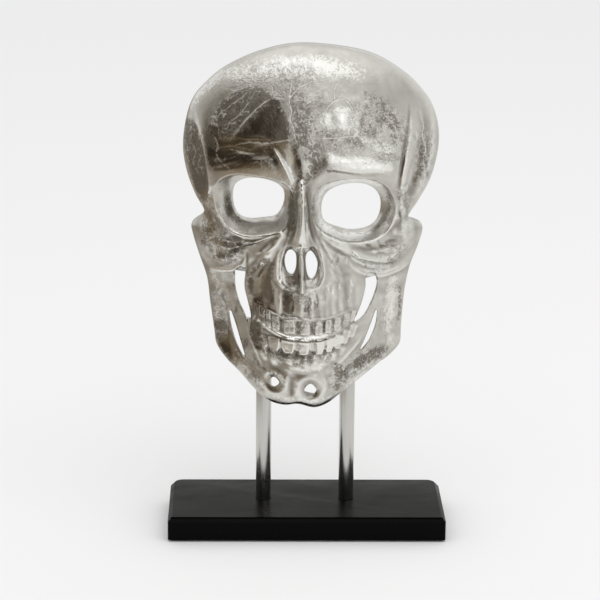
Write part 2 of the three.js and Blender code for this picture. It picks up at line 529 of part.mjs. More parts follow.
// a ball pressed flat: its front half is the outer skin and its back half is pushed in behind it
function skinSolid() {
  const rings = skinRings(frontRings, false);
  for (let i = 1; i <= sideRings; i += 1) rings.push(sideRing(i / sideRings, false));
  for (let i = innerSideRings; i >= 1; i -= 1) rings.push(sideRing(i / innerSideRings, true));
  rings.push(...skinRings(innerRings, true).reverse());
  const ball = new THREE.SphereGeometry(1, aroundCount, rings.length - 1);
  const spots = ball.attributes.position;
  rings.forEach((ring, row) => {
    for (let column = 0; column <= aroundCount; column += 1) {
      spots.setXYZ(row * (aroundCount + 1) + column, ...ring[column % aroundCount]);
    }
  });
  foldAlongCarving(ball, rings.length - 1);
  return toManifold(ball);
}

// splits each four-sided face along its flatter diagonal, so that edges follow the ridges and grooves
function foldAlongCarving(ball, rows) {
  const spots = ball.attributes.position;
  const index = [];
  const stride = aroundCount + 1;
  for (let row = 0; row < rows; row += 1) {
    for (let column = 0; column < aroundCount; column += 1) {
      const b = row * stride + column;
      const [a, c, d] = [b + 1, b + stride, b + stride + 1];
      const flatter = Math.abs(spots.getY(a) - spots.getY(c)) < Math.abs(spots.getY(b) - spots.getY(d));
      if (row === 0) index.push(b, c, d);
      else if (row === rows - 1) index.push(a, b, d);
      else if (flatter) index.push(a, b, c, a, c, d);
      else index.push(a, b, d, b, c, d);
    }
  }
  ball.setIndex(index);
}

function toManifold(geometry) {
  const bare = geometry.clone();
  bare.deleteAttribute('normal');
  bare.deleteAttribute('uv');
  const merged = mergeVertices(bare, mergeWithin);
  const solid = new wasm.Manifold(new wasm.Mesh({
    numProp: 3,
    vertProperties: Float32Array.from(merged.attributes.position.array),
    triVerts: Uint32Array.from(merged.index.array),
  }));
  return solid;
}

function toGeometry(solid) {
  const mesh = solid.getMesh();
  const geometry = new THREE.BufferGeometry();
  geometry.setAttribute('position', new THREE.BufferAttribute(Float32Array.from(mesh.vertProperties), 3));
  geometry.setIndex(new THREE.BufferAttribute(Uint32Array.from(mesh.triVerts), 1));
  geometry.computeVertexNormals();
  return geometry;
}

// prism that runs along Y through the whole mask, from an outline in the front view
function throughPrism(points) {
  const shape = new THREE.Shape(points.map((p) => new THREE.Vector2(p.x, p.z)));
  const prism = new THREE.ExtrudeGeometry(shape, { depth: skullDepth + 2 * overrun, bevelEnabled: false });
  prism.rotateX(Math.PI / 2);
  prism.translate(0, skullSetBack + skullDepth / 2 + overrun, 0);
  return toManifold(prism);
}

// slot outline: both sides of a middle line with its half widths
function slotPoints(shares) {
  const line = throughRows(shares, false).filter((row, i) => i % 2 === 0)
    .map(([across, up, half]) => ({ ...place([across, up]), half: half * halfWidth }));
  const side = (sign) => line.map((p, i) => {
    const before = line[Math.max(i - 1, 0)];
    const after = line[Math.min(i + 1, line.length - 1)];
    const length = Math.hypot(after.x - before.x, after.z - before.z);
    return {
      x: p.x - (sign * p.half * (after.z - before.z)) / length,
      z: p.z + (sign * p.half * (after.x - before.x)) / length,
    };
  });
  return [...side(1), ...side(-1).reverse()];
}

function everyOther(points, step) {
  return points.filter((point, i) => i % step === 0);
}

function tooth([across, up, half, tall, height, tilt]) {
  const at = place([across, up]);
  const [a, b] = [half * halfWidth, tall * halfWidth];
  const round = Math.min(a, b) / 2;
  const shape = new THREE.Shape();
  shape.moveTo(a, b - round);
  shape.absarc(a - round, b - round, round, 0, Math.PI / 2);
  shape.absarc(round - a, b - round, round, Math.PI / 2, Math.PI);
  shape.absarc(round - a, round - b, round, Math.PI, 1.5 * Math.PI);
  shape.absarc(a - round, round - b, round, 1.5 * Math.PI, 2 * Math.PI);
  const body = new THREE.ExtrudeGeometry(shape, {
    depth: toothRoot,
    bevelSize: toothRound,
    bevelOffset: -toothRound,
    bevelThickness: toothRound,
    bevelSegments: 1,
    curveSegments: 1,
  });
  body.rotateZ(THREE.MathUtils.degToRad(tilt));
  body.rotateX(Math.PI / 2);
  const front = skinDepth(at.x, at.z, false) - height * skullDepth;
  body.translate(at.x, front + toothRound + toothRoot, at.z);
  return toManifold(body);
}

const rodPlace = (side) => rodShift + (side * rodSpacing) / 2;

// socket cast behind the jaw for one rod, with a blind bore from below and a hole for its grub screw
function socket(side) {
  const x = rodPlace(side);
  const half = rodRadius + fit + socketWall;
  const back = rodRadius + fit + socketBackWall;
  const heights = [socketBottom, socketBottom + socketHeight / 2, socketBottom + socketHeight];
  const seatAt = (acrossX) => Math.max(...heights.map((z) => skinDepth(acrossX, z, false))) + wall / 2;
  const shape = new THREE.Shape();
  shape.moveTo(x - half, back);
  for (let i = 0; i <= curveSteps; i += 2) {
    const at = x - half + (2 * half * i) / curveSteps;
    shape.lineTo(at, seatAt(at));
  }
  shape.lineTo(x + half, back);
  const block = new THREE.ExtrudeGeometry(shape, { depth: socketHeight, bevelEnabled: false });
  block.translate(0, 0, socketBottom);
  return toManifold(block);
}

// the rod's way up past the edge of the jaw and into its socket
function socketBore(side) {
  const depth = socketFloor + rodDepthInSocket + fit;
  const bore = new THREE.CylinderGeometry(rodRadius + fit, rodRadius + fit, depth, roundSteps);
  bore.rotateX(Math.PI / 2);
  bore.translate(rodPlace(side), 0, chinZ + depth / 2);
  return toManifold(bore);
}

const grubHeight = socketBottom + rodDepthInSocket / 2;

function grubBore(side) {
  const radius = grubDiameter / 2 + fit;
  const length = socketBackWall + fit + 2 * overrun;
  const bore = new THREE.CylinderGeometry(radius, radius, length, roundSteps / 2);
  bore.translate(rodPlace(side), rodRadius + (socketBackWall + fit) / 2, grubHeight);
  return toManifold(bore);
}

function skullSolid() {
  let solid = skinSolid();
  const cuts = [
    ...eyes.map((eye) => throughPrism(everyOther(eye.hole.points, curveSteps / 2))),
    ...roundHoles.map((loop) => throughPrism(everyOther(loop.points, curveSteps / 2))),
    ...[slotOuterLeftShares, slotOuterRightShares, slotInnerLeftShares, slotInnerRightShares]
      .map((shares) => throughPrism(slotPoints(shares))),
  ];
  cuts.forEach((cut) => { solid = solid.subtract(cut); });
  toothShares.forEach((row) => { solid = solid.add(tooth(row)); });
  [-1, 1].forEach((side) => {
    solid = solid.add(socket(side)).subtract(socketBore(side)).subtract(grubBore(side));
  });
  return solid;
}

function blockSolid() {
  const w = blockWidth / 2 - blockBevel;
  const d = blockDepth / 2 - blockBevel;
  const plan = new THREE.Shape();
  plan.moveTo(-w, -d);
  plan.lineTo(w, -d);
  const round = blockBackRound - blockBevel;
  plan.absarc(w - round, d - round, round, 0, Math.PI / 2);
  plan.absarc(-w + round, d - round, round, Math.PI / 2, Math.PI);
  const board = new THREE.ExtrudeGeometry(plan, {
    depth: blockThick,
    curveSegments: curveSteps,
    bevelSize: blockBevel,
    bevelThickness: blockBevel,
    bevelSegments: 1,
  });
  board.translate(0, 0, blockTop - blockThick - blockBevel);
  const under = new THREE.BoxGeometry(blockWidth + 2 * overrun, blockDepth + 2 * overrun, 2 * blockBevel);
  under.translate(0, 0, blockTop - blockThick - blockBevel);
  let solid = toManifold(board).subtract(toManifold(under));
  const hole = (x, diameter, low, high) => {
    const radius = diameter / 2 + fit;
    const drill = new THREE.CylinderGeometry(radius, radius, high - low, roundSteps);
    drill.rotateX(Math.PI / 2);
    drill.translate(x, 0, (low + high) / 2);
    return toManifold(drill);
  };
  const blockFloor = blockTop - blockThick;
  [rodPlace(-1), rodPlace(1)].forEach((x) => {
    solid = solid.subtract(hole(x, rodDiameter, rodFloor - seat, blockTop + overrun))
      .subtract(hole(x, boltDiameter, blockFloor - overrun, blockTop))
      .subtract(hole(x, washerDiameter, blockFloor - overrun, blockFloor + counterboreDepth));
  });
  return solid;
}

const boltSeat = blockTop - blockThick + counterboreDepth - washerThick - 2 * seat;

function hexPrism(across, depth, low) {
  const prism = new THREE.CylinderGeometry(across / Math.sqrt(3), across / Math.sqrt(3), depth, 6);
  prism.rotateX(Math.PI / 2);
  prism.translate(0, 0, low + depth / 2);
  return prism;
}

function boltSolid() {
  const r = boltDiameter / 2;
  const head = boltHeadDiameter / 2;
  const profile = [
    [0, boltSeat - boltHeadThick], [head, boltSeat - boltHeadThick], [head, boltSeat],
    [r, boltSeat], [r, boltSeat + boltLength - boltHeadThick], [0, boltSeat + boltLength - boltHeadThick],
  ].map(([x, y]) => new THREE.Vector2(x, y));
  const bolt = new THREE.LatheGeometry(profile, roundSteps / 2);
  bolt.rotateX(Math.PI / 2);
  const key = hexPrism(hexKey, keyDepth + overrun, boltSeat - boltHeadThick - overrun);
  return toManifold(bolt).subtract(toManifold(key));
}

function washerGeometry() {
  const ring = new THREE.Shape().absarc(0, 0, washerDiameter / 2, 0, 2 * Math.PI);
  ring.holes.push(new THREE.Path().absarc(0, 0, boltDiameter / 2 + fit, 0, 2 * Math.PI, true));
  const washer = new THREE.ExtrudeGeometry(ring, {
    depth: washerThick, bevelEnabled: false, curveSegments: roundSteps / 2,
  });
  washer.translate(0, 0, boltSeat + seat);
  return washer;
}

function rodGeometry() {
  const bore = boltDiameter / 2 + fit;
  const boreTop = boltSeat + boltLength - boltHeadThick + overrun;
  const profile = [
    [0, boreTop], [bore, boreTop], [bore, rodFloor], [rodRadius, rodFloor],
    [rodRadius, rodTop - rodChamfer], [rodRadius - rodChamfer, rodTop], [0, rodTop],
  ].map(([x, y]) => new THREE.Vector2(x, y));
  const rod = new THREE.LatheGeometry(profile, roundSteps);
  rod.rotateX(Math.PI / 2);
  return rod;
}

function grubSolid() {
  const body = new THREE.CylinderGeometry(grubDiameter / 2, grubDiameter / 2, grubLength, roundSteps / 2);
  body.rotateX(Math.PI / 2);
  body.translate(0, 0, grubLength / 2);
  const key = hexPrism(grubKey, keyDepth + overrun, grubLength - keyDepth);
  return toManifold(body).subtract(toManifold(key));
}

const metal = new THREE.MeshStandardMaterial({ color: 0xc9c6c0, roughness: 0.22, metalness: 1 });
const rodMetal = new THREE.MeshStandardMaterial({ color: 0xb9b7b4, roughness: 0.32, metalness: 1 });
const lacquer = new THREE.MeshStandardMaterial({ color: 0x0b0b0b, roughness: 0.35, metalness: 0 });
const zinc = new THREE.MeshStandardMaterial({ color: 0xaeb0b2, roughness: 0.4, metalness: 1 });
const blackSteel = new THREE.MeshStandardMaterial({ color: 0x2a2a2c, roughness: 0.45, metalness: 1 });
const felt = new THREE.MeshStandardMaterial({ color: 0x1a1a1a, roughness: 1, metalness: 0 });

const group = new THREE.Group();

function add(name, geometry, material, position = [0, 0, 0]) {
  const mesh = new THREE.Mesh(geometry, material);
  mesh.name = name;
  mesh.position.set(...position);
  group.add(mesh);
  return mesh;
}

add('skull_casting', toGeometry(skullSolid()), metal);
add('base_block', toGeometry(blockSolid()), lacquer);
const sides = [['left', -1], ['right', 1]];
sides.forEach(([side, sign]) => {
  const x = rodPlace(sign);
  add(`rod_${side}`, rodGeometry(), rodMetal, [x, 0, 0]);
  add(`base_screw_${side}`, toGeometry(boltSolid()), zinc, [x, 0, 0]);
  add(`base_washer_${side}`, washerGeometry(), zinc, [x, 0, 0]);
  const grubPlace = [x, rodRadius + fit, grubHeight];
  const grub = add(`grub_screw_${side}`, toGeometry(grubSolid()), blackSteel, grubPlace);
  grub.rotation.x = -Math.PI / 2;
  [['front', -1], ['back', 1]].forEach(([end, toward]) => {
    const pad = new THREE.CylinderGeometry(padDiameter / 2, padDiameter / 2, padThick, roundSteps);
    pad.rotateX(Math.PI / 2);
    add(`felt_pad_${end}_${side}`, pad, felt, [
      sign * (blockWidth / 2 - padInset), toward * (blockDepth / 2 - padInset), padThick / 2]);
  });
});

export default group;
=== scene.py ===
# Cast metal skull mask on two rods and a black block: finished surfaces, materials, stage and camera.
import math

import bmesh
import bpy
import numpy as np
from mathutils import Matrix, Vector


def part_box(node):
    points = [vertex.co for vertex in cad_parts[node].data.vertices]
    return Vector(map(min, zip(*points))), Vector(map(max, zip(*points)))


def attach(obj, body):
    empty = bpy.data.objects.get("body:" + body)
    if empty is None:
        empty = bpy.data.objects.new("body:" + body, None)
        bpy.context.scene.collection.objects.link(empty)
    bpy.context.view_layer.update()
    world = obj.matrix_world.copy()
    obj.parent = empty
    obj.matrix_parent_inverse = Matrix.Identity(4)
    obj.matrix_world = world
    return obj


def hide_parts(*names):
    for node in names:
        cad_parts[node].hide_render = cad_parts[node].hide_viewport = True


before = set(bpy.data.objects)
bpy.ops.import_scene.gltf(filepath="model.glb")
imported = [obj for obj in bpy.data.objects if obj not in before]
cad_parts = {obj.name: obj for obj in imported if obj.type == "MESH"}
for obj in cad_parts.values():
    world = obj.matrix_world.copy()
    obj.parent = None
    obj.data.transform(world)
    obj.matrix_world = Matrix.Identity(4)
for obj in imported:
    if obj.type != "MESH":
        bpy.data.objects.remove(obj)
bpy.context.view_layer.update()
millimetre = 0.001

camera = {
    "place": (-0.0488, -2.0449, 0.7655),
    "yaw": 1.19,
    "pitch": 15.61,
    "roll": 0.49,
    "sensor": 36.0,
    "lens": 154.3,
    "near": 0.1,
    "far": 50.0,
}


def makeCamera():
    yaw, pitch, roll = (math.radians(camera[k]) for k in ("yaw", "pitch", "roll"))
    ahead = Vector((math.sin(yaw) * math.cos(pitch), math.cos(yaw) * math.cos(pitch), -math.sin(pitch)))
    right = Vector((math.cos(yaw), -math.sin(yaw), 0))
    up = right.cross(ahead)
    tilted = right * math.cos(roll) + up * math.sin(roll)
    top = up * math.cos(roll) - right * math.sin(roll)
    data = bpy.data.cameras.new("photo_camera")
    data.sensor_width = camera["sensor"]
    data.lens = camera["lens"]
    data.clip_start, data.clip_end = camera["near"], camera["far"]
    made = bpy.data.objects.new("photo_camera", data)
    turn = Matrix((tilted, top, -ahead)).transposed().to_4x4()
    made.matrix_world = Matrix.Translation(camera["place"]) @ turn
    bpy.context.scene.collection.objects.link(made)
    bpy.context.scene.camera = made


# shader nodes

class Value:
    # what comes out of a node, ready to be added, multiplied and so on
    def __init__(self, nodes, socket):
        self.nodes, self.socket = nodes, socket

    def __add__(self, other):
        return self.nodes.math("ADD", self, other)

    def __mul__(self, other):
        return self.nodes.math("MULTIPLY", self, other)

    def __sub__(self, other):
        return self.nodes.math("SUBTRACT", self, other)

    def __rsub__(self, other):
        return self.nodes.math("SUBTRACT", other, self)

    def __truediv__(self, other):
        return self.nodes.math("DIVIDE", self, other)


class Nodes:
    # the node tree of a material or of the world
    def __init__(self, owner):
        owner.use_nodes = True
        self.tree = owner.node_tree

    def add(self, kind, **settings):
        node = self.tree.nodes.new("ShaderNode" + kind)
        for key, value in settings.items():
            setattr(node, key, value)
        return node

    def feed(self, socket, value):
        if isinstance(value, Value):
            self.tree.links.new(value.socket, socket)
        elif isinstance(value, tuple) and socket.type == "RGBA":
            socket.default_value = (*value, 1)
        else:
            socket.default_value = value

    def fill(self, node, output=None, **values):
        for key, value in values.items():
            self.feed(node.inputs[key.replace("_", " ")], value)
        return None if output is None else Value(self, node.outputs[output])

    def read(self, kind, output, **settings):
        return Value(self, self.add(kind, **settings).outputs[output])

    def noise(self, source, scale, detail=4.0, roughness=0.55, distortion=0.0, output="Fac"):
        return self.fill(self.add("TexNoise"), output, Vector=source, Scale=scale, Detail=detail,
                         Roughness=roughness, Distortion=distortion)

    def math(self, operation, a, b=0.0, clamp=False):
        node = self.add("Math", operation=operation, use_clamp=clamp)
        for socket, value in zip(node.inputs, (a, b)):
            self.feed(socket, value)
        return Value(self, node.outputs[0])

    def ramp(self, source, low, high, start=0.0, end=1.0):
        node = self.add("MapRange", interpolation_type="SMOOTHSTEP")
        return self.fill(node, "Result", Value=source, From_Min=low, From_Max=high, To_Min=start, To_Max=end)

    def band(self, source, low, high, soft):
        # 1 between low and high, falling off over soft on both sides
        rise = self.ramp(source, low - soft, low + soft)
        return rise * self.ramp(source, high - soft, high + soft, 1.0, 0.0)

    def mix(self, share, a, b):
        node = self.add("Mix", data_type="RGBA")
        for place, value in ((0, share), (6, a), (7, b)):
            self.feed(node.inputs[place], value)
        return Value(self, node.outputs[2])

    def place(self, scale=(1, 1, 1)):
        return self.fill(self.add("Mapping"), "Vector", Vector=self.read("TexCoord", "Object"), Scale=scale)

    def split(self, source):
        node = self.add("SeparateXYZ")
        self.feed(node.inputs[0], source)
        return [Value(self, socket) for socket in node.outputs]

    def bump(self, shader, height, strength, distance):
        node = self.add("Bump")
        normal = self.fill(node, "Normal", Strength=strength, Distance=distance, Height=height)
        self.feed(shader.inputs["Normal"], normal)


def newMaterial(name):
    material = bpy.data.materials.new(name)
    nodes = Nodes(material)
    return material, nodes, nodes.tree.nodes["Principled BSDF"]


# mesh helpers

def meshObject(name, bm):
    mesh = bpy.data.meshes.new(name)
    bm.to_mesh(mesh)
    bm.free()
    made = bpy.data.objects.new(name, mesh)
    bpy.context.scene.collection.objects.link(made)
    return made


def finishPiece(piece, material, slotName, *nodes, smoothAngle=None):
    piece.data.materials.clear()
    piece.data.materials.append(material)
    if smoothAngle is None:
        piece.data.shade_smooth()
    else:
        bpy.context.view_layer.objects.active = piece
        piece.select_set(True)
        bpy.ops.object.shade_smooth_by_angle(angle=math.radians(smoothAngle))
        piece.select_set(False)
    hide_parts(*nodes)
    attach(piece, "root")


def boolean(piece, other, operation):
    modifier = piece.modifiers.new(operation.lower(), "BOOLEAN")
    modifier.operation = operation
    modifier.object = other
    modifier.solver = "MANIFOLD"
    view = bpy.context.evaluated_depsgraph_get()
    cut = bpy.data.meshes.new_from_object(piece.evaluated_get(view))
    piece.modifiers.clear()
    old, piece.data = piece.data, cut
    bpy.data.meshes.remove(old)
    spare = other.data
    bpy.data.objects.remove(other)
    bpy.data.meshes.remove(spare)


def readTable(text, width):
    numbers = [float(word) for word in text.split()]
    return [tuple(numbers[i:i + width]) for i in range(0, len(numbers), width)]


def readStrokes(text, width=4):
    # each stroke is a word, its profile, and then its points
    strokes = []
    for word in text.split():
        if word.isalpha():
            strokes.append((word, []))
        else:
            strokes[-1][1].append(word)
    return [(kind, readTable(" ".join(words), width)) for kind, words in strokes]


# the head's form: every place below is x and height in millimetres in the front view

head = {
    "castWidth": 209.4,
    "castTop": 406.1,
    "castBack": 48.0,
    "middle": (-2.0, 214.0),
    "halfWidth": 105.0,
    "frontGap": 2.0,
    "spokes": 420,
    "frontRings": 186,
    "rimShare": 0.87,
    "rimRings": 0.8,
    "sideRings": 7,
    "innerRings": 26,
    "innerSideRings": 3,
    "wall": 5.0,
    "eyeDepth": 18.0,
    "edgePower": 14,
    "lip": 1.6,
    "innerLip": 0.6,
    "innerRidge": 0.6,
    "narrowStroke": 5.5,
    "cutReach": 80.0,
}
# x, height, depth of the widest line, depth behind it, tuck at the back edge
outlinePoints = """
    -4 406 8 40 10  -38.5 400 8 40 10.5  -68.5 386 9 39 8.5  -87.1 369.8 10 38 6.5  -96.1 356.9 10 38 4
      -101 340 10 38 4  -102.8 320 10 38 4  -99.8 301 9 37 4  -93.5 284 6 34 4  -85.4 268 2 25 4.5
      -95.4 257.8 4 16 2  -94.8 248.5 5 14 1  -90 232.5 4 13 1  -83.2 212 3 12 1  -80.6 191.5 2 10 1
      -77.2 168 0 8 1  -75.2 155.5 -1 8 1  -67 144.3 -6 8 1  -57 135 -10 8 1  -47 125.2 -16 8 2
      -37.5 117.4 -23 9 2  -29 114 -29 9 3  -18.5 112.8 -33 9 4  -8 113.9 -33 9 4  5 111 -33 9 4
      15.5 113.8 -32 9 3  26 120.3 -27 9 3  37 127 -20 8 2  48 134 -14 8 2  59 141.5 -9 8 1  69 148 -4 8 1
      77 157 0 8 1  77.8 171 1 8 1  80 199 3 11 1  84 221 4 13 1  91.3 241 5 14 1  93.8 256.6 4 16 2
      82 264 2 25 4.5  91.5 280.5 6 34 4  100 296 9 37 4  105 314 10 38 4  106.4 332 10 38 4  103 350 10 38 4
      94.8 365.2 10 38 6.5  76 383.5 9 39 7.5  45.2 399.8 8 40 9.5"""
# height, depth at the middle, depth that the sides fall back, roundness of the edge
faceProfile = """
    110 -42.6 90 30  122 -44 96 18  135 -45 100 9  150 -44.5 104 8  165 -44 106 8  180 -43.5 106 8
      195 -43.5 98 7.5  212 -42 80 7  230 -40 60 6.5  250 -39.5 38 6  268 -40.5 26 5.5  285 -41 18 5
      300 -43 12 4.4  315 -45 9 3.8  335 -45.5 8 3.2  360 -45.5 6 2.8  390 -45.5 3 2.5  410 -45.5 2 2.4"""
# x, height
holes = {
    "leftEye": """
        -61.8 284  -60 295  -51.5 300.6  -40 301.4  -29 298.6  -21.5 293  -20 285  -22 276.5  -27 269.6
          -36 267.6  -47 266  -55.5 268  -60 274""",
    "rightEye": """
        10 278  12.8 288  21 294.5  33 297.6  45 296.6  53.5 291.5  58 283  58 272  54 263  46 258.3  34 257.3
          22.5 260.5  12 266.5""",
    "leftNostril": """
        -19.6 234.5  -18.4 242.2  -14.8 245.4  -10.8 242  -10.4 231.5  -13 224.8  -17.4 226.6""",
    "rightNostril": """
        -2.4 241.2  1 244.8  4.8 240.4  7 233.4  5.6 225  2.4 221  -0.9 224  -2.6 233.6""",
    "leftChin": """
        -31.8 132.8  -27.8 137.2  -23.4 133  -27.8 129""",
    "rightChin": """
        -3 128.2  2 133.6  7 128.4  2 122.8""",
}
eyeRims = {
    "leftEye": """
        -77.5 289  -75.5 298  -68.5 305  -58 308  -46 307  -30 304.5  -17 298.5  -12.5 286  -14.5 271.5
          -20.5 262.5  -33 257.5  -47 255.5  -60 257.5  -69 264.5  -75 276""",
    "rightEye": """
        1 284  5 297  18 303.5  38 306  54 303  64 295.5  69 284  68.5 271  63.5 259  54 252.5  40 250.5
          26 252.5  12 259.5  4 269""",
}
# x, height, half width
slots = {
    "leftInner": """
        -55.5 223.5 4.2  -56 210 3.8  -53.2 197 3.8  -50 188 2.8  -48.6 182.4 1.8""",
    "rightInner": """
        50.6 219.5 4.2  51.4 210 5  47.6 197 4.2  43.2 188 3.4  38 182.6 1.4""",
    "leftOuter": """
        -64 184.5 0.9  -61 173 2.1  -57 160 2.1  -52.4 149.4 1""",
    "rightOuter": """
        56.6 188 0.9  54 176.5 2.4  49 165 2.4  43.5 157.3 1""",
}
# x, height, ring radius, hole radius, height of the ring, depth of the cup
cups = [(-27.8, 133, 9.2, 4.4, 0.8, 1.5), (2.2, 129, 10.6, 5.4, 0.8, 1.4)]
cupSpread = 0.35
# x, height, half width, half height, height out of the gum, tilt
teeth = {
    "upper": """
        -45 190.2 1.7 6.4 0.85 8  -41 189.4 1.75 6.8 1.2 7  -37 188 1.8 7 1.4 5  -32.8 186.2 1.9 6.9 1.5 4
          -26.9 183.8 3 6.4 1.5 3  -15.6 181.6 4.9 6.2 1.68 1  -2.6 181 4.2 6 1.68 0  8.4 181.2 3.5 6.1 1.6 0
          16.2 182.2 3.1 6 1.4 -2  23.8 183.8 3.2 6.2 1.2 -4  31 186.2 2.8 6.2 0.95 -8
          36.6 188.4 2.2 5.4 0.8 -10""",
    "lower": """
        -42.6 167.6 2.85 5.4 0.95 16  -36.4 166 3.23 5.8 1.33 8  -28 165.6 4.56 6.4 1.71 3
          -16.6 166 5.7 6.6 2.09 0  -3.6 165.4 4.5 6.8 2.09 0  9.4 165.4 3.6 6.6 1.9 0
          17.2 166.6 3.4 6.4 1.6 -4  24.2 168.6 3.4 6.4 1.4 -9  30.6 171.8 3 6.2 1.3 -14
          36.4 175.8 3.04 5.6 1.14 -20""",
}
# how far a tooth narrows upwards, and how square its outline and its top are
toothShape = {"upper": -0.06, "lower": 0.18, "across": 5, "along": 6, "top": 1.8}
# hollows and swells of the hand-made surface: wave lengths in millimetres, slope as rise over run
dents = {
    "seed": 11,
    "waves": 36,
    "shortest": 5.5,
    "longest": 17.0,
    "slope": 0.015,
    "faceTop": 296.0,
    "fade": 16.0,
    "foreheadShare": 0.3,
}
# short tool marks: x, height, spread across and up, way in degrees, count, height out of the face
marks = """
    -68 240 12 9 20 20 1.6  62 238 14 10 -14 20 1.5  -93 320 5 24 82 12 1  92 316 7 24 98 18 1.2
      45 145 17 6 32 18 1.1  -4 204 10 7 88 12 0.9  -8 156 26 3 90 14 0.7  -71 190 5 14 45 8 0.6
      -38 212 8 12 97 10 0.4  55 345 14 12 125 10 0.25  -58 355 12 10 42 12 0.35  26 222 9 20 104 16 0.8
      76 280 5 16 90 12 1.1  -80 268 4 14 95 8 0.9  -6 184 26 5 88 18 0.5  -14 270 4 14 100 8 0.5
      -44 148 10 6 -60 8 0.4  0 388 40 6 10 14 0.2"""
markShape = {
    "seed": 5,
    "shortest": 5.0,
    "longest": 14.0,
    "thinnest": 1.5,
    "widest": 2.8,
    "turn": 22.0,
    "bow": 0.2,
    "endRadius": 0.7,
}
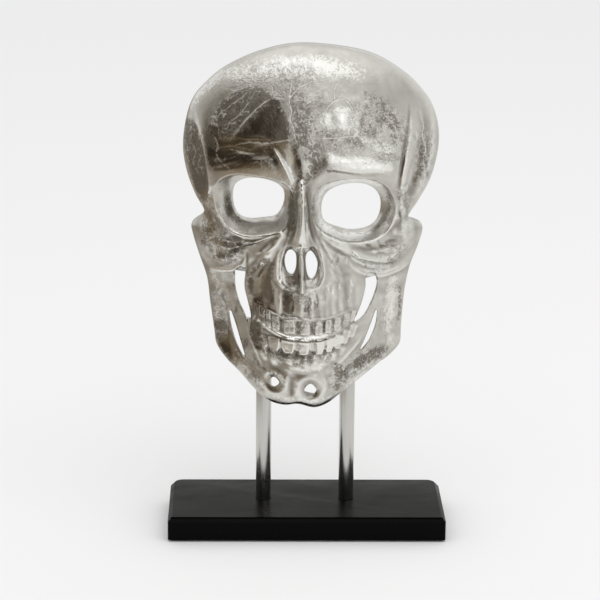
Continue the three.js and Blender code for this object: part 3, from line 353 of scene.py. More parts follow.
# each stroke: profile, then points of x, height, radius, height out of the face
carving = {
    "brow": """
        soft  -82 300 12 0.63  -66 309 13 1.26  -48 313 14 1.51  -30 311 13 1.51  -16 302 10 1.26
        sharp  -78 311 2.2 0  -69 313 2.6 -0.98  -60 316.5 2.4 -0.91  -48 319.5 2.2 0
        soft  74 298 11 0.63  60 310 13 1.26  40 313 14 1.6  20 314 13 1.6  4 306 10 1.26
        sharp  8 314 2.2 0  24 311.5 2.4 -0.84  42 308 2.2 -0.84  56 308.5 2 -0.56  66 305 2 0
        soft  -6 302 9 0.9  -6 313 10 1.08
        edge  -14 301 5 1.2  -18.5 311.5 6 1.68  -25 323 6 1.32  -32 332 5 0
        soft  -17 336 6 0  -13.5 322 6 -0.58  -10.5 310 5 -0.65  -9 304 4 0
        soft  4 338 8 0  7 325 9 -0.45  5 313 8 -0.41  0 304 5 -0.15
        soft  -72 322 14 0  -52 327 16 -0.6  -34 326 12 -0.4
        sharp  -62 334 1.8 0  -52 333 2 0.2  -38 333 2 0.25  -24 334.5 2 0.2  -12 337 2 0
        soft  16 354 12 0  26 353 14 1  38 345 12 0
        soft  30 338 12 0  42 334 14 -0.5  54 330 12 0
        sharp  -80 330 2.4 0  -72 327 2.8 -0.6  -62 328.5 2.8 -0.7  -50 326 2.6 -0.6  -40 328 2.4 0
        sharp  -82 322 2.4 0  -74 319.5 2.8 0.6  -64 322 2.8 0.7  -54 324 2.6 0.5  -44 322.5 2.4 0
        sharp  -60 338 2.4 0  -52 336.5 2.6 0.5  -42 337.5 2.6 0.6  -30 336 2.4 0
        sharp  -54 318 2.4 0  -44 320 3 0.6  -34 321 3 0.7  -26 327 2.4 0
        sharp  -46 329 2.4 0  -36 331 2.8 -0.6  -27 330 2.4 0""",
    "temples": """
        edge  -93 356 8 0  -89.5 343 10 1.44  -86 330 9 2.16  -83.5 318 8 2.4  -82 305 7 2.4  -82 292 6 2.4
          -84 280 6 1.8
        soft  -97 348 8 0  -94 328 8 -2.1  -92 308 9 -3  -89 291 6 -2.4
        sharp  80 362 2 0  79.5 348 2.6 -1.4  77.5 335 2.8 -1.7  74.5 320 2.6 -1.6  72.5 306 2.4 -1.2
          71.5 295 2 0
        soft  86 364 6 0  85.5 348 7 0.96  82.5 332 6 1.32  78.5 318 5 1.44  75.5 304 4 1.56  74.5 290 3.6 1.8
          76 276 3.4 2.04  78 262 3.4 2.04  78 249 3 0
        soft  93 354 6 0  94 338 7 -1.56  92 322 8 -2.4  88 306 8 -3  83 291 6 -2.4
        sharp  88 358 2.4 0  90.5 350 2.6 0.84  93 338 2.6 0.72  94 326 3 1.2  95 316 2.4 0
        soft  101 345 5 0  101 332 5 0.96  99 318 5 1.2  95 304 5 0
        sharp  59 358 2.2 0  63 351.5 2.4 0.84  68 345.5 2.4 0.9  71 337.5 2.4 0.78  72 328 2 0
        soft  58 352 4 0  63 346 5 -0.6  67 339 4 0""",
    "orbits": """
        sharp  -79 292 4 0  -76.5 280 4 1.39  -73.5 269.5 4 1.54  -67 260.5 4 1.54  -60 256.5 4 1.39
          -50 255 4 1.16  -38 256.5 4 1  -26 259.5 4 0.77  -17 262 4 0
        sharp  71 289 4 0  70.5 274 4 1.39  66.5 262 4 1.39  58 253.5 4 1.23  46 250 4 1.08  34 250.5 3.6 0.77
          22 254 3.2 0.54  9 260 3 0""",
    "nose": """
        soft  -6 301 5 4  -6 291 5.5 7  -6 276 7.5 9.6  -6.5 261 10.5 11  -6.5 252 11.5 9
        sharp  -6.5 296 2.8 0  -5.8 284 3 1.05  -5.5 272 3 0.9  -6.5 258 3 0
        sharp  -9.8 292 2.4 0  -10 277 2.8 -1.8  -12.5 263 2.8 -1.8  -15.5 253 2.4 0
        sharp  -14 288 2.4 0  -16 272 2.8 -1.2  -18.6 258 2.4 0
        sharp  -1 284 2.4 0  0.5 269 2.6 -0.48  3 259 2.6 -0.54  5.5 249 2.4 0
        soft  -8.5 288 3 1.6  -8.4 286.6 3 1.6
        soft  -4.6 289 2.8 1.8  -4.5 287 2.8 1.8
        soft  -11 295.5 2.4 0.8  -7 297.5 2.8 1.8  -3 296 2.4 0.8
        flat  -15 244 5.5 -1.95  -16.5 233 7 -2.38  -15.5 220 7.5 -1.95
        flat  2 244 5.5 -1.95  4 232 7 -2.38  3 219 8 -1.95
        sharp  -12.5 247.5 2.4 0.45  -8 250.5 2.8 1.5  -4.4 250.6 2.8 1.5  -0.5 248 2.4 0.45
        soft  -6.8 247 2.4 6  -6.4 236 2.8 9.6  -6 222 3.2 10  -5.6 213 5 8
        sharp  -20 251 2.4 0  -25 243 2.4 0.86  -26.4 232 2.6 1.03  -26.2 222 2.6 1.09  -22 216 2.6 1.15
          -16 213.4 2.6 1.15  -9 214.6 2.7 0.86
        sharp  7 250 2.4 0  10.6 240 2.4 0.69  12.2 227 2.6 1.03  9.6 218 2.7 1.27  4 213.6 2.7 1.32
          -2 214.4 2.7 1.27  -6.6 219 2.6 0.57
        sharp  -8.4 286 1.4 0  -8.8 272 1.7 -0.8  -10.6 258 1.6 -0.7  -12.4 250 1.3 0
        sharp  -7 282 1.4 0  -7 268 1.7 0.7  -8 256 1.6 0.6  -9.4 249 1.3 0
        sharp  -3.4 284 1.4 0  -3 270 1.7 -0.7  -2.2 258 1.6 -0.6  -0.8 250 1.3 0
        sharp  -12.6 284 1.6 0  -14 268 2 0.8  -17 256 1.8 0.7  -21 246 1.4 0
        sharp  -2 272 1.4 0  0.6 260 1.8 0.7  4.4 250 1.6 0.6  9 240 1.3 0
        sharp  1 274 1.6 0  5 260 2 -0.7  12 246 2 -0.7  20 232 1.8 -0.5  24 218 1.4 0
        sharp  8 256 1.6 0  16 243 2 0.6  24 230 2 0.6  30 214 1.6 0""",
    "cheeks": """
        soft  -83 264 8 2.1  -81 248 10 2.89  -74 237 10 2.89  -62 236 9 2.1
        edge  -84 217 10 0  -76 219.5 14 2.21  -66 222 15 2.79  -57 226 14 2.5  -51 231 10 1.18  -48 239 8 0
        edge  -79 249 6 0  -73 244.5 7 1.76  -65 243 7 2.35  -56 246 7 2.16  -44 251 6 1.86  -32 256.5 6 1.57
          -21 261.5 5 0
        sharp  -57 252 2.2 0  -46 252.8 2.6 -1.26  -34 256.6 2.6 -1.26  -21 262 2.2 0
        soft  -73.4 239 5 -2.52  -72.6 235.6 5 -2.52
        soft  -80.4 241.5 4 -1.68  -80 238 4 -1.68
        soft  -66 250 4 -1.4  -60 251 4 -1.68  -55 250.5 3 -1.12
        sharp  -50 244 2.4 0  -50.4 236 3 -1.82  -50 222 2.6 -1.12
        soft  -23 257 5 2.1  -31 245 6 2.8  -40 229 6.5 2.8  -47 219 5 0
        soft  -78 208 8 -0.63  -66 209 8 -0.94  -60 212 5 -0.84
        soft  -35 236 6 -1.4  -36 222 9 -4.2  -38 206 9 -4.2  -37 199 6 -1.4
        soft  81 262 8 2.1  79 247 10 3.15  70 238 11 3.68  57 236 9 3.68  46 238 7 2.62  36 243 6 2.1
          20 252 5 1.05
        edge  34 242 6 0  41 239 7 2.45  50 236 7 2.94  58 233 7 2.65  66 232.5 7 2.35  72 238 6 0
        edge  32 235 5 0  38 228.5 8 1.12  46 223.5 10 1.96  56 220 11 2.38  68 219 11 2.24  77 221 10 1.54
          85 226 8 0
        sharp  7 259 2.4 0  16 250 2.8 -1.4  26 242 2.8 -1.4  35 238.5 2.4 0
        sharp  57 245.5 2.4 0  66 249.5 2.6 -1.26  77 247 2.2 0
        soft  71 256 4 1.12  74 255 4 1.12
        soft  77 207 8 -0.73  63 205 8 -1.26  55 209 6 -1.05
        soft  24 240 8 -0.88  28 224 9 -2.1  32 206 9 -1.75  32 198 6 -0.7
        sharp  -83 219 2 0  -74 221 2.4 1.49  -64 223.5 2.6 1.89  -56 229 2.6 1.62  -50 237 2 0
        sharp  36 240.5 2 0  43 236.5 2.6 1.76  51 233 3 2.16  60 231 2.6 1.35  67 232 2 0
        sharp  40 230 2 0  50 225.5 2.8 1.76  64 222.5 3 2.03  78 224 2.4 0
        sharp  44 243.5 2 0  54 241.5 2.6 1.49  64 243 2.4 1.22  72 247 2 0
        sharp  -74 249.5 2 0  -64 248 2.6 1.62  -53 250 2.4 1.35  -44 253.5 2 0
        sharp  -70 238.5 2 0  -62 241 2.6 -1.62  -54 245 2.4 -1.22  -48 249 2 0
        sharp  -44 241 2.2 0  -36 244 3 1.2  -27 250 2.4 0""",
    "gums": """
        sharp  -50 200 2.4 0  -38 196.8 2.4 0.9  -30 193.4 2.4 1.1  -22 190.4 2.4 1.2  -12 188.9 2.4 1.2
          0 188.3 2.4 1.2  10 188.6 2.4 1.1  20 190 2.4 0.9  30 193.2 2.2 0.6  38 196 2 0
        edge  36 182.5 4 0  24 177 5 0.8  13 174.4 5 1.3  4 173.2 5 1.7  -8 172.8 5 1.8  -20 173.8 5 1.8
          -28 176.4 5 1.6  -35 180.4 4 1  -41 186 4 0
        soft  -15 148.5 6 0.94  -3 148.5 7 1.22  9 149.5 6 0.94
        soft  -22.6 160.5 3.6 -1.92  -22.6 158.5 3.6 -1.92
        soft  -10.4 160.5 2.8 -1.8  -10.4 158.5 2.8 -1.8
        soft  3.3 161 2.4 -1.3  3.3 158.5 2.4 -1.3
        soft  13.4 161 2.4 -1.32  13.4 158.5 2.4 -1.32
        soft  -33 161 3 -1.56  -33 159 3 -1.56
        soft  20.8 162.6 2.2 -1.08  20.4 160 2.2 -1.08
        soft  -43 181 5 0  -44 173 6 -0.84  -41 163 5 -0.84  -38 158 4 0""",
    "jaw": """
        edge  19 140 6 0  26 149.5 7 1.34  32 156.5 7 1.6  39 163 7 1.6  46 172 6 0
        edge  -51 178 6 0  -46.5 166 6 1.09  -42 156 6 1.18  -38 147 6 0
        soft  -58 148 7 0  -50 139.5 7 0.9  -41 132 7 0.9  -34 127 6 0
        soft  60 154 7 0  49 146.5 7 0.9  38 138 7 0.9  24 129 7 0
        soft  -13 120 4 0  -13.5 128 4.5 -1.89  -13.5 139 4 -1.26  -13.5 144 4 0
        sharp  -16.5 147 2.4 0  -14.5 143 2.8 0.92  -12 139.5 2.4 0
        sharp  9.5 145 2.2 0  13.5 138 2.6 0.76  14 130 2.6 0.67  12 125 2 0""",
}
# x, lowest and highest point of each upper tooth's root, and its height
upperRoots = """
    -40.5 198 216 0.46  -33.5 196 220 0.5  -24.2 194 216 1.18  -17 193 208 0.38  -6.6 192 211 0.76
      3 192 212 0.92  10.4 192 208 0.46  15.4 192 222 0.59  20.4 194 216 0.8  27 196 226 0.59
      34.5 198 222 0.55"""
# x, upper end
lowerRoots = """
    -36.6 157  -28.4 154  -15.6 156  -3 155.6  4.8 155.8  13 156.4  21 158  28 162"""
rootShape = {
    "upperRadii": (3.4, 3.8, 3),
    "upperShift": 0.3,
    "upperLean": 1.03,
    "lowerRadii": (4, 3.6),
    "lowerHeights": (1.5, 1.1),
    "lowerLean": 0.97,
    "lowerLength": 3,
}
# painted on the front: each stroke is profile, then points of x, height, radius, strength; dark is patina
# with painted shade and painted dark reflections, pale is painted highlights and reflections
tones = {
    # patina, with painted shade in the gaps between the teeth and painted dark reflections over the left brow
    # and forehead
    "dark": """
        flat  -72 342 12 0.9  -63 354 15 1  -50 364 14 1  -40 366 12 1  -30 360 10 0.9
        flat  -66 334 14 0.9  -48 342 16 0.9  -34 348 17 0.9  -27 350 13 0.9  -25 336 12 0.9
        flat  -77 320 11 0.75  -60 320 13 0.7  -42 322 13 0.7  -26 324 11 0.65
        soft  -78 314 4 0.8  -62 317.5 3 1  -46 321 3 0.9  -34 324 3 0.4
        flat  -96 340 9 0.7  -92 320 13 0.85  -88 300 11 0.85  -85 286 8 0.7
        flat  -84 272 7 0.7  -81 258 8 0.7  -84 244 7 0.6
        soft  -66 284 5 0.5  -63 271 5 0.6  -56 264 4 0.4
        soft  -76 246 5 0.9  -66 246 5 0.9  -50 248 4 0.7  -38 252 3 0.5
        soft  -76 232 6 0.7  -68 236 5 0.8  -60 240 4 0.6
        flat  -34 232 9 0.7  -40 216 13 0.95  -37 202 12 0.95  -44 190 7 0.7
        flat  -17 211 6 0.8  -16 197 6 0.9
        flat  -44 186 5 0.6  -43 172 7 0.8  -40 162 6 0.7
        flat  -72 172 8 0.8  -68 160 9 0.9  -60 148 8 0.7  -52 162 5 0.5
        soft  -60 186 5 0.5  -56 196 3 0.5  -61 210 3 0.4
        soft  76 204 3 0.5  76.5 186 3 0.6  74.5 172 3 0.4
        soft  -1 336 10 0.5  3 325 12 0.6  2 312 9 0.6  -4 304 6 0.6
        soft  -14 330 5 0.6  -9 318 4 0.7  -8 308 4 0.8
        soft  14 312.5 2.4 0.7  24 311.5 2 0.8  40 309.5 1.6 0.7  54 310 1.4 0.6
        flat  -14 372 9 0.5  -6 354 12 0.55  -8 336 9 0.6
        soft  -14 300 4 0.5  -14.5 282 5 0.7  -15 264 5 0.7
        flat  42 147 8 0.75  56 151 7 0.75  64 152 5 0.5
        flat  23 147 6 0.6  28 139 8 0.75  24 130 6 0.55
        soft  46 370 8 0.4  58 362 10 0.5  67 348 10 0.55  68 334 9 0.5
        soft  36 334 8 0.5  47 337 8 0.55  56 346 9 0.5
        soft  4 344 6 0.5  14 340 6 0.5  20 334 5 0.5
        soft  92 330 8 0.5  90 312 8 0.6  84 298 6 0.5
        soft  60 246 5 0.5  70 244 5 0.5  76 238 5 0.4
        soft  48 228.5 3 0.6  60 227.5 3 0.6  72 229 3 0.5
        soft  -16 209 6 0.8  -15 196 6 0.8
        soft  -1 210 3 0.4  -2 196 4 0.7
        flat  -34 161.5 3 0.5  -22 157.6 3 0.7  -10 156.6 3 0.8  3 158 2.6 0.5
        soft  -44 188 5 0.7  -36 186 6 0.6  -28 185 5 0.5
        soft  -22.2 186.6 2.2 0.9  -22.2 178 2.2 0.8
        soft  -8.8 186 2.4 0.9  -8.8 178 2.4 0.9
        soft  3.2 186 2.2 0.8  3.2 178 2.2 0.8
        soft  12.5 186 1.4 0.7  12.5 178 1.4 0.7
        soft  -18 181 4 0.5  -13 181 4 0.5
        soft  3.3 172 2.2 0.8  3.3 161 2.4 0.9
        soft  13.4 171 1.6 0.6  13.4 162 1.8 0.7
        soft  -10.4 171 1.8 0.7  -10.4 162 2 0.9
        soft  -22.6 171 1.6 0.7  -22.6 163 2 0.8
        soft  -44 150 6 0.4  -37 143 5 0.5  -20 138 4 0.5  -23 126 4 0.4
        soft  63 290 4 0.5  65 278 4 0.5  62 266 4 0.3
        soft  -36 177 1.6 0.9  -24 172 1.6 1  -8 170.2 1.6 1  8 170.6 1.6 0.9  18 172.4 1.4 0.6
        flat  -64 148 8 0.4  -50 138 8 0.45  -38 127 6 0.35""",
    "warm": """
        flat  -72 308 7 0.6  -56 311 8 1  -40 312 8 1  -24 309 7 0.6
        flat  -68 331 9 0.7  -45 332 9 0.6  -20 329 8 0.6
        soft  -16 326 5 0.9  -13 318 4 0.9
        soft  -38 222 11 0.35  -38 200 11 0.35
        soft  -82 285 9 0.5  -80 262 9 0.6  -74 240 9 0.5
        soft  -28 133 10 0.6  -27 132 10 0.6
        soft  -66 160 9 0.6  -52 140 9 0.4""",
    # painted highlights and reflections: the rims of the orbits, the temple lines, the ledge under the upper
    # teeth and bright patches of the forehead and crown
    "pale": """
        soft  -92 346 1.8 0.6  -86.5 334 2 0.9  -83 320 2 1  -81 304 2 0.9  -80 290 1.8 0.6
        flat  14 352 9 0.7  26 354 11 1  34 349 8 0.8
        soft  15 325 9 0.7  24 318 10 1  40 316 11 1  62 314 9 0.9
        soft  26 350 8 0.7  36 341 7 0.9  50 333 8 0.8  64 326 9 1
        soft  -30 329 4 0.5  -24 321 5 0.9  -17.5 312 5 1  -14 304 4 0.8
        soft  66 170 8 0.6  68 190 9 0.8  70 212 8 0.7
        flat  -36 181 2.2 0.9  -28 177 2.6 1  -20 174.6 2.8 1  -4 173.4 2.8 1  14 175 2.6 0.9
        flat  -16 149 6 0.5  8 149.5 6 0.6  16 156 6 0.4
        flat  -28 165 3.8 0.8  -16.6 165.6 5.2 1  -3.6 165.6 5.2 1  9.4 166 5 1  26 170 5 0.8
        soft  -52 386 12 0.5  -24 390 14 0.8  10 391 14 0.8  40 386 12 0.5
        soft  -98 352 6 0.4  -90 366 7 0.6  -76 379 8 0.6  -60 387 8 0.5
        flat  -26 212 2 0.8  -25.4 204 3.6 1  -24.6 196 2 0.8
        flat  -5 213 4 0.9  2 208 6 1  -3 201 4 0.9
        soft  -78 210 6 0.6  -70 203 7 0.9  -66 192 6 0.6  -76 184 5 0.5
        soft  -73 276 3 0.8  -69 264 3 0.9  -58 258 3 0.6  -44 259 3 0.5
        flat  12 262 5 0.7  22 256 4 0.8  38 253 4 0.9  54 255 4 0.9  63 264 3 0.7
        flat  8 266 5 0.7  5 282 5 0.8  10 296 5 0.8  22 301 5 0.8  40 302.5 4.6 0.8  56 299 4.6 0.7
        flat  -60 304 4 0.4  -44 305 4 0.4  -30 302 4 0.4
        flat  -24 238 2 0.5  -21 221 4 0.7  -14 219 4 0.6
        flat  10 232 2 0.6  7 220 4 0.8  -1 218 4 0.8
        soft  36 238 4 0.8  50 230 5 1  66 226 5 0.7
        soft  -74 221 3.4 0.9  -64 226 4 1  -56 233 3.4 0.8
        soft  -30 120 4 0.3  -18 120.5 4 0.5  8 118.6 4 0.6  24 123 4 0.5
        soft  32 128 4 0.5  48 137 4 0.6  64 148 4 0.4""",
    "mottled": """
        flat  -68 346 16 0.6  -56 358 16 0.6  -44 366 12 0.5
        flat  44 352 18 0.9  62 342 22 1  64 330 18 0.9
        flat  14 336 10 0.7  34 334 14 0.9
        soft  -10 350 20 0.5  6 362 20 0.6
        soft  -60 384 14 0.6  -30 388 16 0.8  0 386 16 0.6
        soft  -94 330 14 0.9  -92 306 12 0.9
        soft  94 335 12 0.9  92 306 12 1
        flat  76 292 9 0.7  78 268 11 0.7
        flat  -78 252 14 0.8  -64 238 14 0.8  -82 278 9 0.7
        soft  60 232 14 0.6  76 240 12 0.7
        soft  -7 210 14 0.8  0 200 14 0.8
        soft  -30 184 10 0.7  0 184 10 0.6  28 184 10 0.6
        soft  -30 157 7 0.7  -6 155 7 0.8  14 155 7 0.6
        flat  58 150 10 1  40 146 12 1  24 136 11 1
        soft  -72 196 12 0.7  -70 168 12 0.8""",
}
# lines in the skin: points of x, height, strength
veins = """
    vein  -15 396 0.4  -14 385 0.8  -16 373 1  -17 366 1  -15 358 0.9  -16 352 1  -13 345 1  -12 338 0.8
      -10 333 0.3
    vein  -17 367 0.7  -10 375 0.9  0 380 0.8  9 381 0.5  18 384 0.2
    vein  10 352 0.3  13 360 0.8  20 366 1  28 366.5 1  33 361 0.9  36 353 0.6  42 347 0.2
    vein  20 366 0.6  19 374 0.8  23 380 0.4
    vein  -62 339 0.4  -56 345 0.8  -50 352 0.9  -42 360 1  -34 366 0.9  -28 368 0.5  -17 367 0.4
    vein  -66 347 0.4  -58 353 0.8  -52 360 0.7  -47 367 0.6  -44 373 0.3
    vein  -70 356 0.3  -62 362 0.7  -55 367 0.6  -48 374 0.3
    vein  -34 366 0.6  -30 372 0.8  -31 380 0.5  -27 386 0.2
    vein  -78 338 0.3  -74 330 0.7  -75 322 0.8  -70 316 0.5  -66 313 0.2
    vein  -58 331 0.3  -48 333.5 0.8  -36 333 0.8  -24 335 0.8  -13 337 0.5
    vein  0 338 0.4  10 337.5 0.9  22 338 0.9  34 339 0.8  46 338 0.4
    vein  8 336 0.3  12 345 0.7  10 352 0.7  12 360 0.3
    vein  58 356 0.4  64 350 0.9  69 343 1  71 336 0.9  73 327 0.4
    vein  50 352 0.3  56 345 0.7  62 340 0.7  64 331 0.7  69 323 0.4
    vein  88 355 0.4  92 345 0.9  91 335 0.8  94 326 1  92 316 0.8  95 306 0.3
    vein  -97 330 0.3  -92 322 0.8  -94 312 0.7  -89 304 0.4
    vein  36 328 0.3  44 324 0.7  52 326 0.7  60 321 0.6  68 320 0.3"""
# sharpness of the stroke profiles, and where the steep side of an edge ends
profiles = {"sharp": 1.6, "edge": 1.3, "steepEnd": 0.34}


def smoothStep(t):
    t = np.clip(t, 0, 1)
    return t * t * (3 - 2 * t)


def throughPoints(points, steps, closed):
    rows = np.asarray(points, float)
    count = len(rows)
    pick = (lambda i: rows[i % count]) if closed else (lambda i: rows[min(max(i, 0), count - 1)])
    out = []
    for i in range(count if closed else count - 1):
        a, b, c, d = (pick(i + k) for k in (-1, 0, 1, 2))
        for t in np.arange(steps) / steps:
            out.append((2 * b + (c - a) * t + (2 * a - 5 * b + 4 * c - d) * t * t
                        + (3 * b - a - 3 * c + d) * t ** 3) / 2)
    if not closed:
        out.append(rows[-1])
    return np.array(out)


def makeLoop(points, middle=None):
    curve = throughPoints(points, 10, True)
    middle = curve[:, :2].mean(0) if middle is None else np.array(middle)
    away = curve[:, :2] - middle
    angles = np.arctan2(away[:, 1], away[:, 0])
    order = np.argsort(angles)
    return {
        "middle": middle, "curve": curve, "angles": angles[order],
        "radii": np.hypot(*away.T)[order], "extra": curve[order][:, 2:],
    }


def readLoop(loop, x, z, widen=0.0):
    dx, dz = x - loop["middle"][0], z - loop["middle"][1]
    angle = np.arctan2(dz, dx)
    radius = np.interp(angle, loop["angles"], loop["radii"], period=2 * math.pi) + widen
    return np.hypot(dx, dz) / radius, radius


def readRows(rows, at):
    # smooth curves through the columns of a table, read at many heights
    rows = np.asarray(rows, float)
    keys = rows[:, 0]
    at = np.clip(at, keys[0], keys[-1])
    i = np.clip(np.searchsorted(keys, at, side="right") - 1, 0, len(keys) - 2)
    h = keys[i + 1] - keys[i]
    t = (at - keys[i]) / h
    out = []
    for column in rows[:, 1:].T:
        slope = np.gradient(column, keys)
        out.append((2 * t ** 3 - 3 * t * t + 1) * column[i] + (t ** 3 - 2 * t * t + t) * h * slope[i]
                   + (3 * t * t - 2 * t ** 3) * column[i + 1] + (t ** 3 - t * t) * h * slope[i + 1])
    return out


outlineLoop = makeLoop(readTable(outlinePoints, 5), head["middle"])
holeLoops = {name: makeLoop(readTable(text, 2)) for name, text in holes.items()}
rimLoops = {name: makeLoop(readTable(text, 2)) for name, text in eyeRims.items()}
slotLines = [throughPoints(readTable(text, 3), 5, False) for text in slots.values()]
falloffs = {
    "soft": lambda q, side: (1 - q * q) ** 2,
    "sharp": lambda q, side: (1 - q) ** profiles["sharp"],
    "flat": lambda q, side: (1 - q ** 4) ** 2,
    # gradual on the left of the line's way, steep on its right
    "edge": lambda q, side: np.where(
        side > 0, (1 - q) ** profiles["edge"], 1 - smoothStep(q / profiles["steepEnd"])),
}


def stretches(x, z, line):
    # for each stretch of a line: its ends, its way, how far along it each place lies and how far from it
    for a, b in zip(line[:-1], line[1:]):
        along = b[:2] - a[:2]
        t = np.clip(((x - a[0]) * along[0] + (z - a[1]) * along[1]) / max(along @ along, 1e-9), 0, 1)
        yield a, b, along, t, np.hypot(x - a[0] - along[0] * t, z - a[1] - along[1] * t)


def nearestOnLine(x, z, points, widen=0.0):
    # distance to a smoothed line as a share of its radius there, with its height and the side
    best = np.full(x.shape, np.inf)
    values, side = np.zeros(x.shape), np.zeros(x.shape)
    for a, b, along, t, away in stretches(x, z, throughPoints(points, 5, False)):
        share = away / (a[2] + (b[2] - a[2]) * t + widen)
        nearer = share < best
        best = np.where(nearer, share, best)
        values = np.where(nearer, a[3] + (b[3] - a[3]) * t, values)
        side = np.where(nearer, along[0] * (z - a[1]) - along[1] * (x - a[0]), side)
    return best, values, side


def isNear(x, z, rows, reach):
    return ((x > rows[:, 0].min() - reach) & (x < rows[:, 0].max() + reach)
            & (z > rows[:, 1].min() - reach) & (z < rows[:, 1].max() + reach))


def strokeHeight(x, z, kind, points, widen=0.0):
    out = np.zeros(x.shape)
    rows = np.array(points)
    near = isNear(x, z, rows, rows[:, 2].max() + widen + 2)
    share, height, side = nearestOnLine(x[near], z[near], points, widen)
    out[near] = np.where(share < 1, height * falloffs[kind](np.clip(share, 0, 1), side), 0)
    return out


def toothHeight(x, z, row, taper):
    across, up, half, tall, height, tilt = row
    turn = math.radians(tilt)
    dx, dz = x - across, z - up
    v = (dz * math.cos(turn) - dx * math.sin(turn)) / tall
    u = (dx * math.cos(turn) + dz * math.sin(turn)) / (half * (1 + taper * np.clip(v, -1, 1)))
    q = np.clip(np.abs(u) ** toothShape["across"] + np.abs(v) ** toothShape["along"], 0, 1)
    return height * np.sqrt(1 - q ** toothShape["top"])


def headDepth(x, z):
    # depth of the smooth head, before any carving
    ratio, _ = readLoop(outlineLoop, x, z)
    angle = np.arctan2(z - outlineLoop["middle"][1], x - outlineLoop["middle"][0])
    widest = np.interp(angle, outlineLoop["angles"], outlineLoop["extra"][:, 0], period=2 * math.pi)
    front, bow, power = readRows(readTable(faceProfile, 4), z)
    front = np.minimum(front + bow * (x / head["halfWidth"]) ** 2, widest - head["frontGap"])
    rounding = np.sqrt(np.clip(1 - np.clip(ratio, 0, 1) ** power, 0, 1))
    return widest + (front - widest) * rounding, ratio


def eyeShare(name, x, z, widen=0.0):
    # 0 outside an eye's rim, 1 inside its hole
    rim, _ = readLoop(rimLoops[name], x, z, widen)
    hole, _ = readLoop(holeLoops[name], x, z, widen)
    between = 1 - (hole - 1) / np.maximum(hole - rim, 1e-6)
    return np.where(rim >= 1, 0, np.where(hole <= 1, 1, between))


def holeDistances(x, z):
    # how far outside each hole's edge a place is, in millimetres
    for loop in holeLoops.values():
        ratio, radius = readLoop(loop, x, z)
        yield (ratio - 1) * radius
    for line in slotLines:
        yield np.minimum.reduce([
            away - (a[2] + (b[2] - a[2]) * t) for a, b, _, t, away in stretches(x, z, line)])


def lipDrop(x, z):
    # the skin rolls in at the edge of every hole
    lip = head["lip"]
    nearest = np.minimum.reduce(list(holeDistances(x, z)))
    inside = np.clip((lip - nearest) / lip, 0, 1)
    return lip * (1 - np.sqrt(1 - inside ** 2))


def dentHeight(x, z):
    # a hand-made surface: waves in every direction, weaker on the forehead
    pick = np.random.default_rng(dents["seed"])
    out = np.zeros(x.shape)
    for _ in range(dents["waves"]):
        length = pick.uniform(dents["shortest"], dents["longest"])
        turn, phase = pick.uniform(0, math.pi), pick.uniform(0, 2 * math.pi)
        out += length * np.sin((x * math.cos(turn) + z * math.sin(turn)) * 2 * math.pi / length + phase)
    share = 1 - (1 - dents["foreheadShare"]) * smoothStep((z - dents["faceTop"]) / dents["fade"])
    return out * share * dents["slope"] / math.sqrt(dents["waves"])


def toolMarks():
    pick = np.random.default_rng(markShape["seed"])
    strokes = []
    for x, z, wide, tall, way, count, height in readTable(marks, 7):
        for _ in range(int(count)):
            a, b = x + wide * pick.uniform(-1, 1), z + tall * pick.uniform(-1, 1)
            turn = math.radians(way + markShape["turn"] * pick.normal())
            half = pick.uniform(markShape["shortest"], markShape["longest"]) / 2
            radius = pick.uniform(markShape["thinnest"], markShape["widest"])
            rise = height * pick.uniform(0.5, 1) * pick.choice([-1, 1])
            across, up = half * math.cos(turn), half * math.sin(turn)
            bow = pick.uniform(-markShape["bow"], markShape["bow"]) * half
            end = radius * markShape["endRadius"]
            strokes.append(("sharp", [
                (a - across, b - up, end, 0),
                (a - bow * math.sin(turn), b + bow * math.cos(turn), radius, rise),
                (a + across, b + up, end, 0)]))
    return strokes


def rootStrokes():
    first, middle, last = rootShape["upperRadii"]
    for a, low, high, h in readTable(upperRoots, 4):
        yield "soft", [(a, low, first, h), (a - rootShape["upperShift"], (low + high) / 2, middle, h),
                       (a * rootShape["upperLean"], high, last, 0)]
    (wide, narrow), (high, low) = rootShape["lowerRadii"], rootShape["lowerHeights"]
    for a, up in readTable(lowerRoots, 2):
        yield "soft", [(a, up, wide, high),
                       (a * rootShape["lowerLean"], up - rootShape["lowerLength"], narrow, low)]


def cupHeight(x, z, row):
    across, up, ring, hole, rise, deep = row
    away = np.hypot(x - across, z - up)
    raised = rise * np.exp(-((away - ring) / (ring * cupSpread)) ** 2)
    return raised, np.where(away < ring, deep * (1 - smoothStep((away - hole) / (ring - hole))), 0)


def carvedHeight(x, z, inner=False):
    # the hollow side keeps only the wide strokes: its hollows are wider there and its ridges lower
    raised = np.zeros(x.shape)
    strokes = [stroke for text in carving.values() for stroke in readStrokes(text)]
    for kind, points in [*strokes, *rootStrokes()]:
        isNarrow = kind == "sharp" or points[1][2] < head["narrowStroke"]
        if not inner:
            raised += strokeHeight(x, z, kind, points)
        elif not isNarrow and points[1][3] > 0:
            raised += head["innerRidge"] * strokeHeight(x, z, kind, points)
        elif not isNarrow:
            raised += strokeHeight(x, z, kind, points, head["wall"] / 2)
    if not inner:
        for row in cups:
            ring, cup = cupHeight(x, z, row)
            raised += ring
            raised -= cup
        for jaw, text in teeth.items():
            for row in readTable(text, 6):
                raised += toothHeight(x, z, row, toothShape[jaw])
        for kind, points in toolMarks():
            raised += strokeHeight(x, z, kind, points)
        raised += dentHeight(x, z)
    return raised


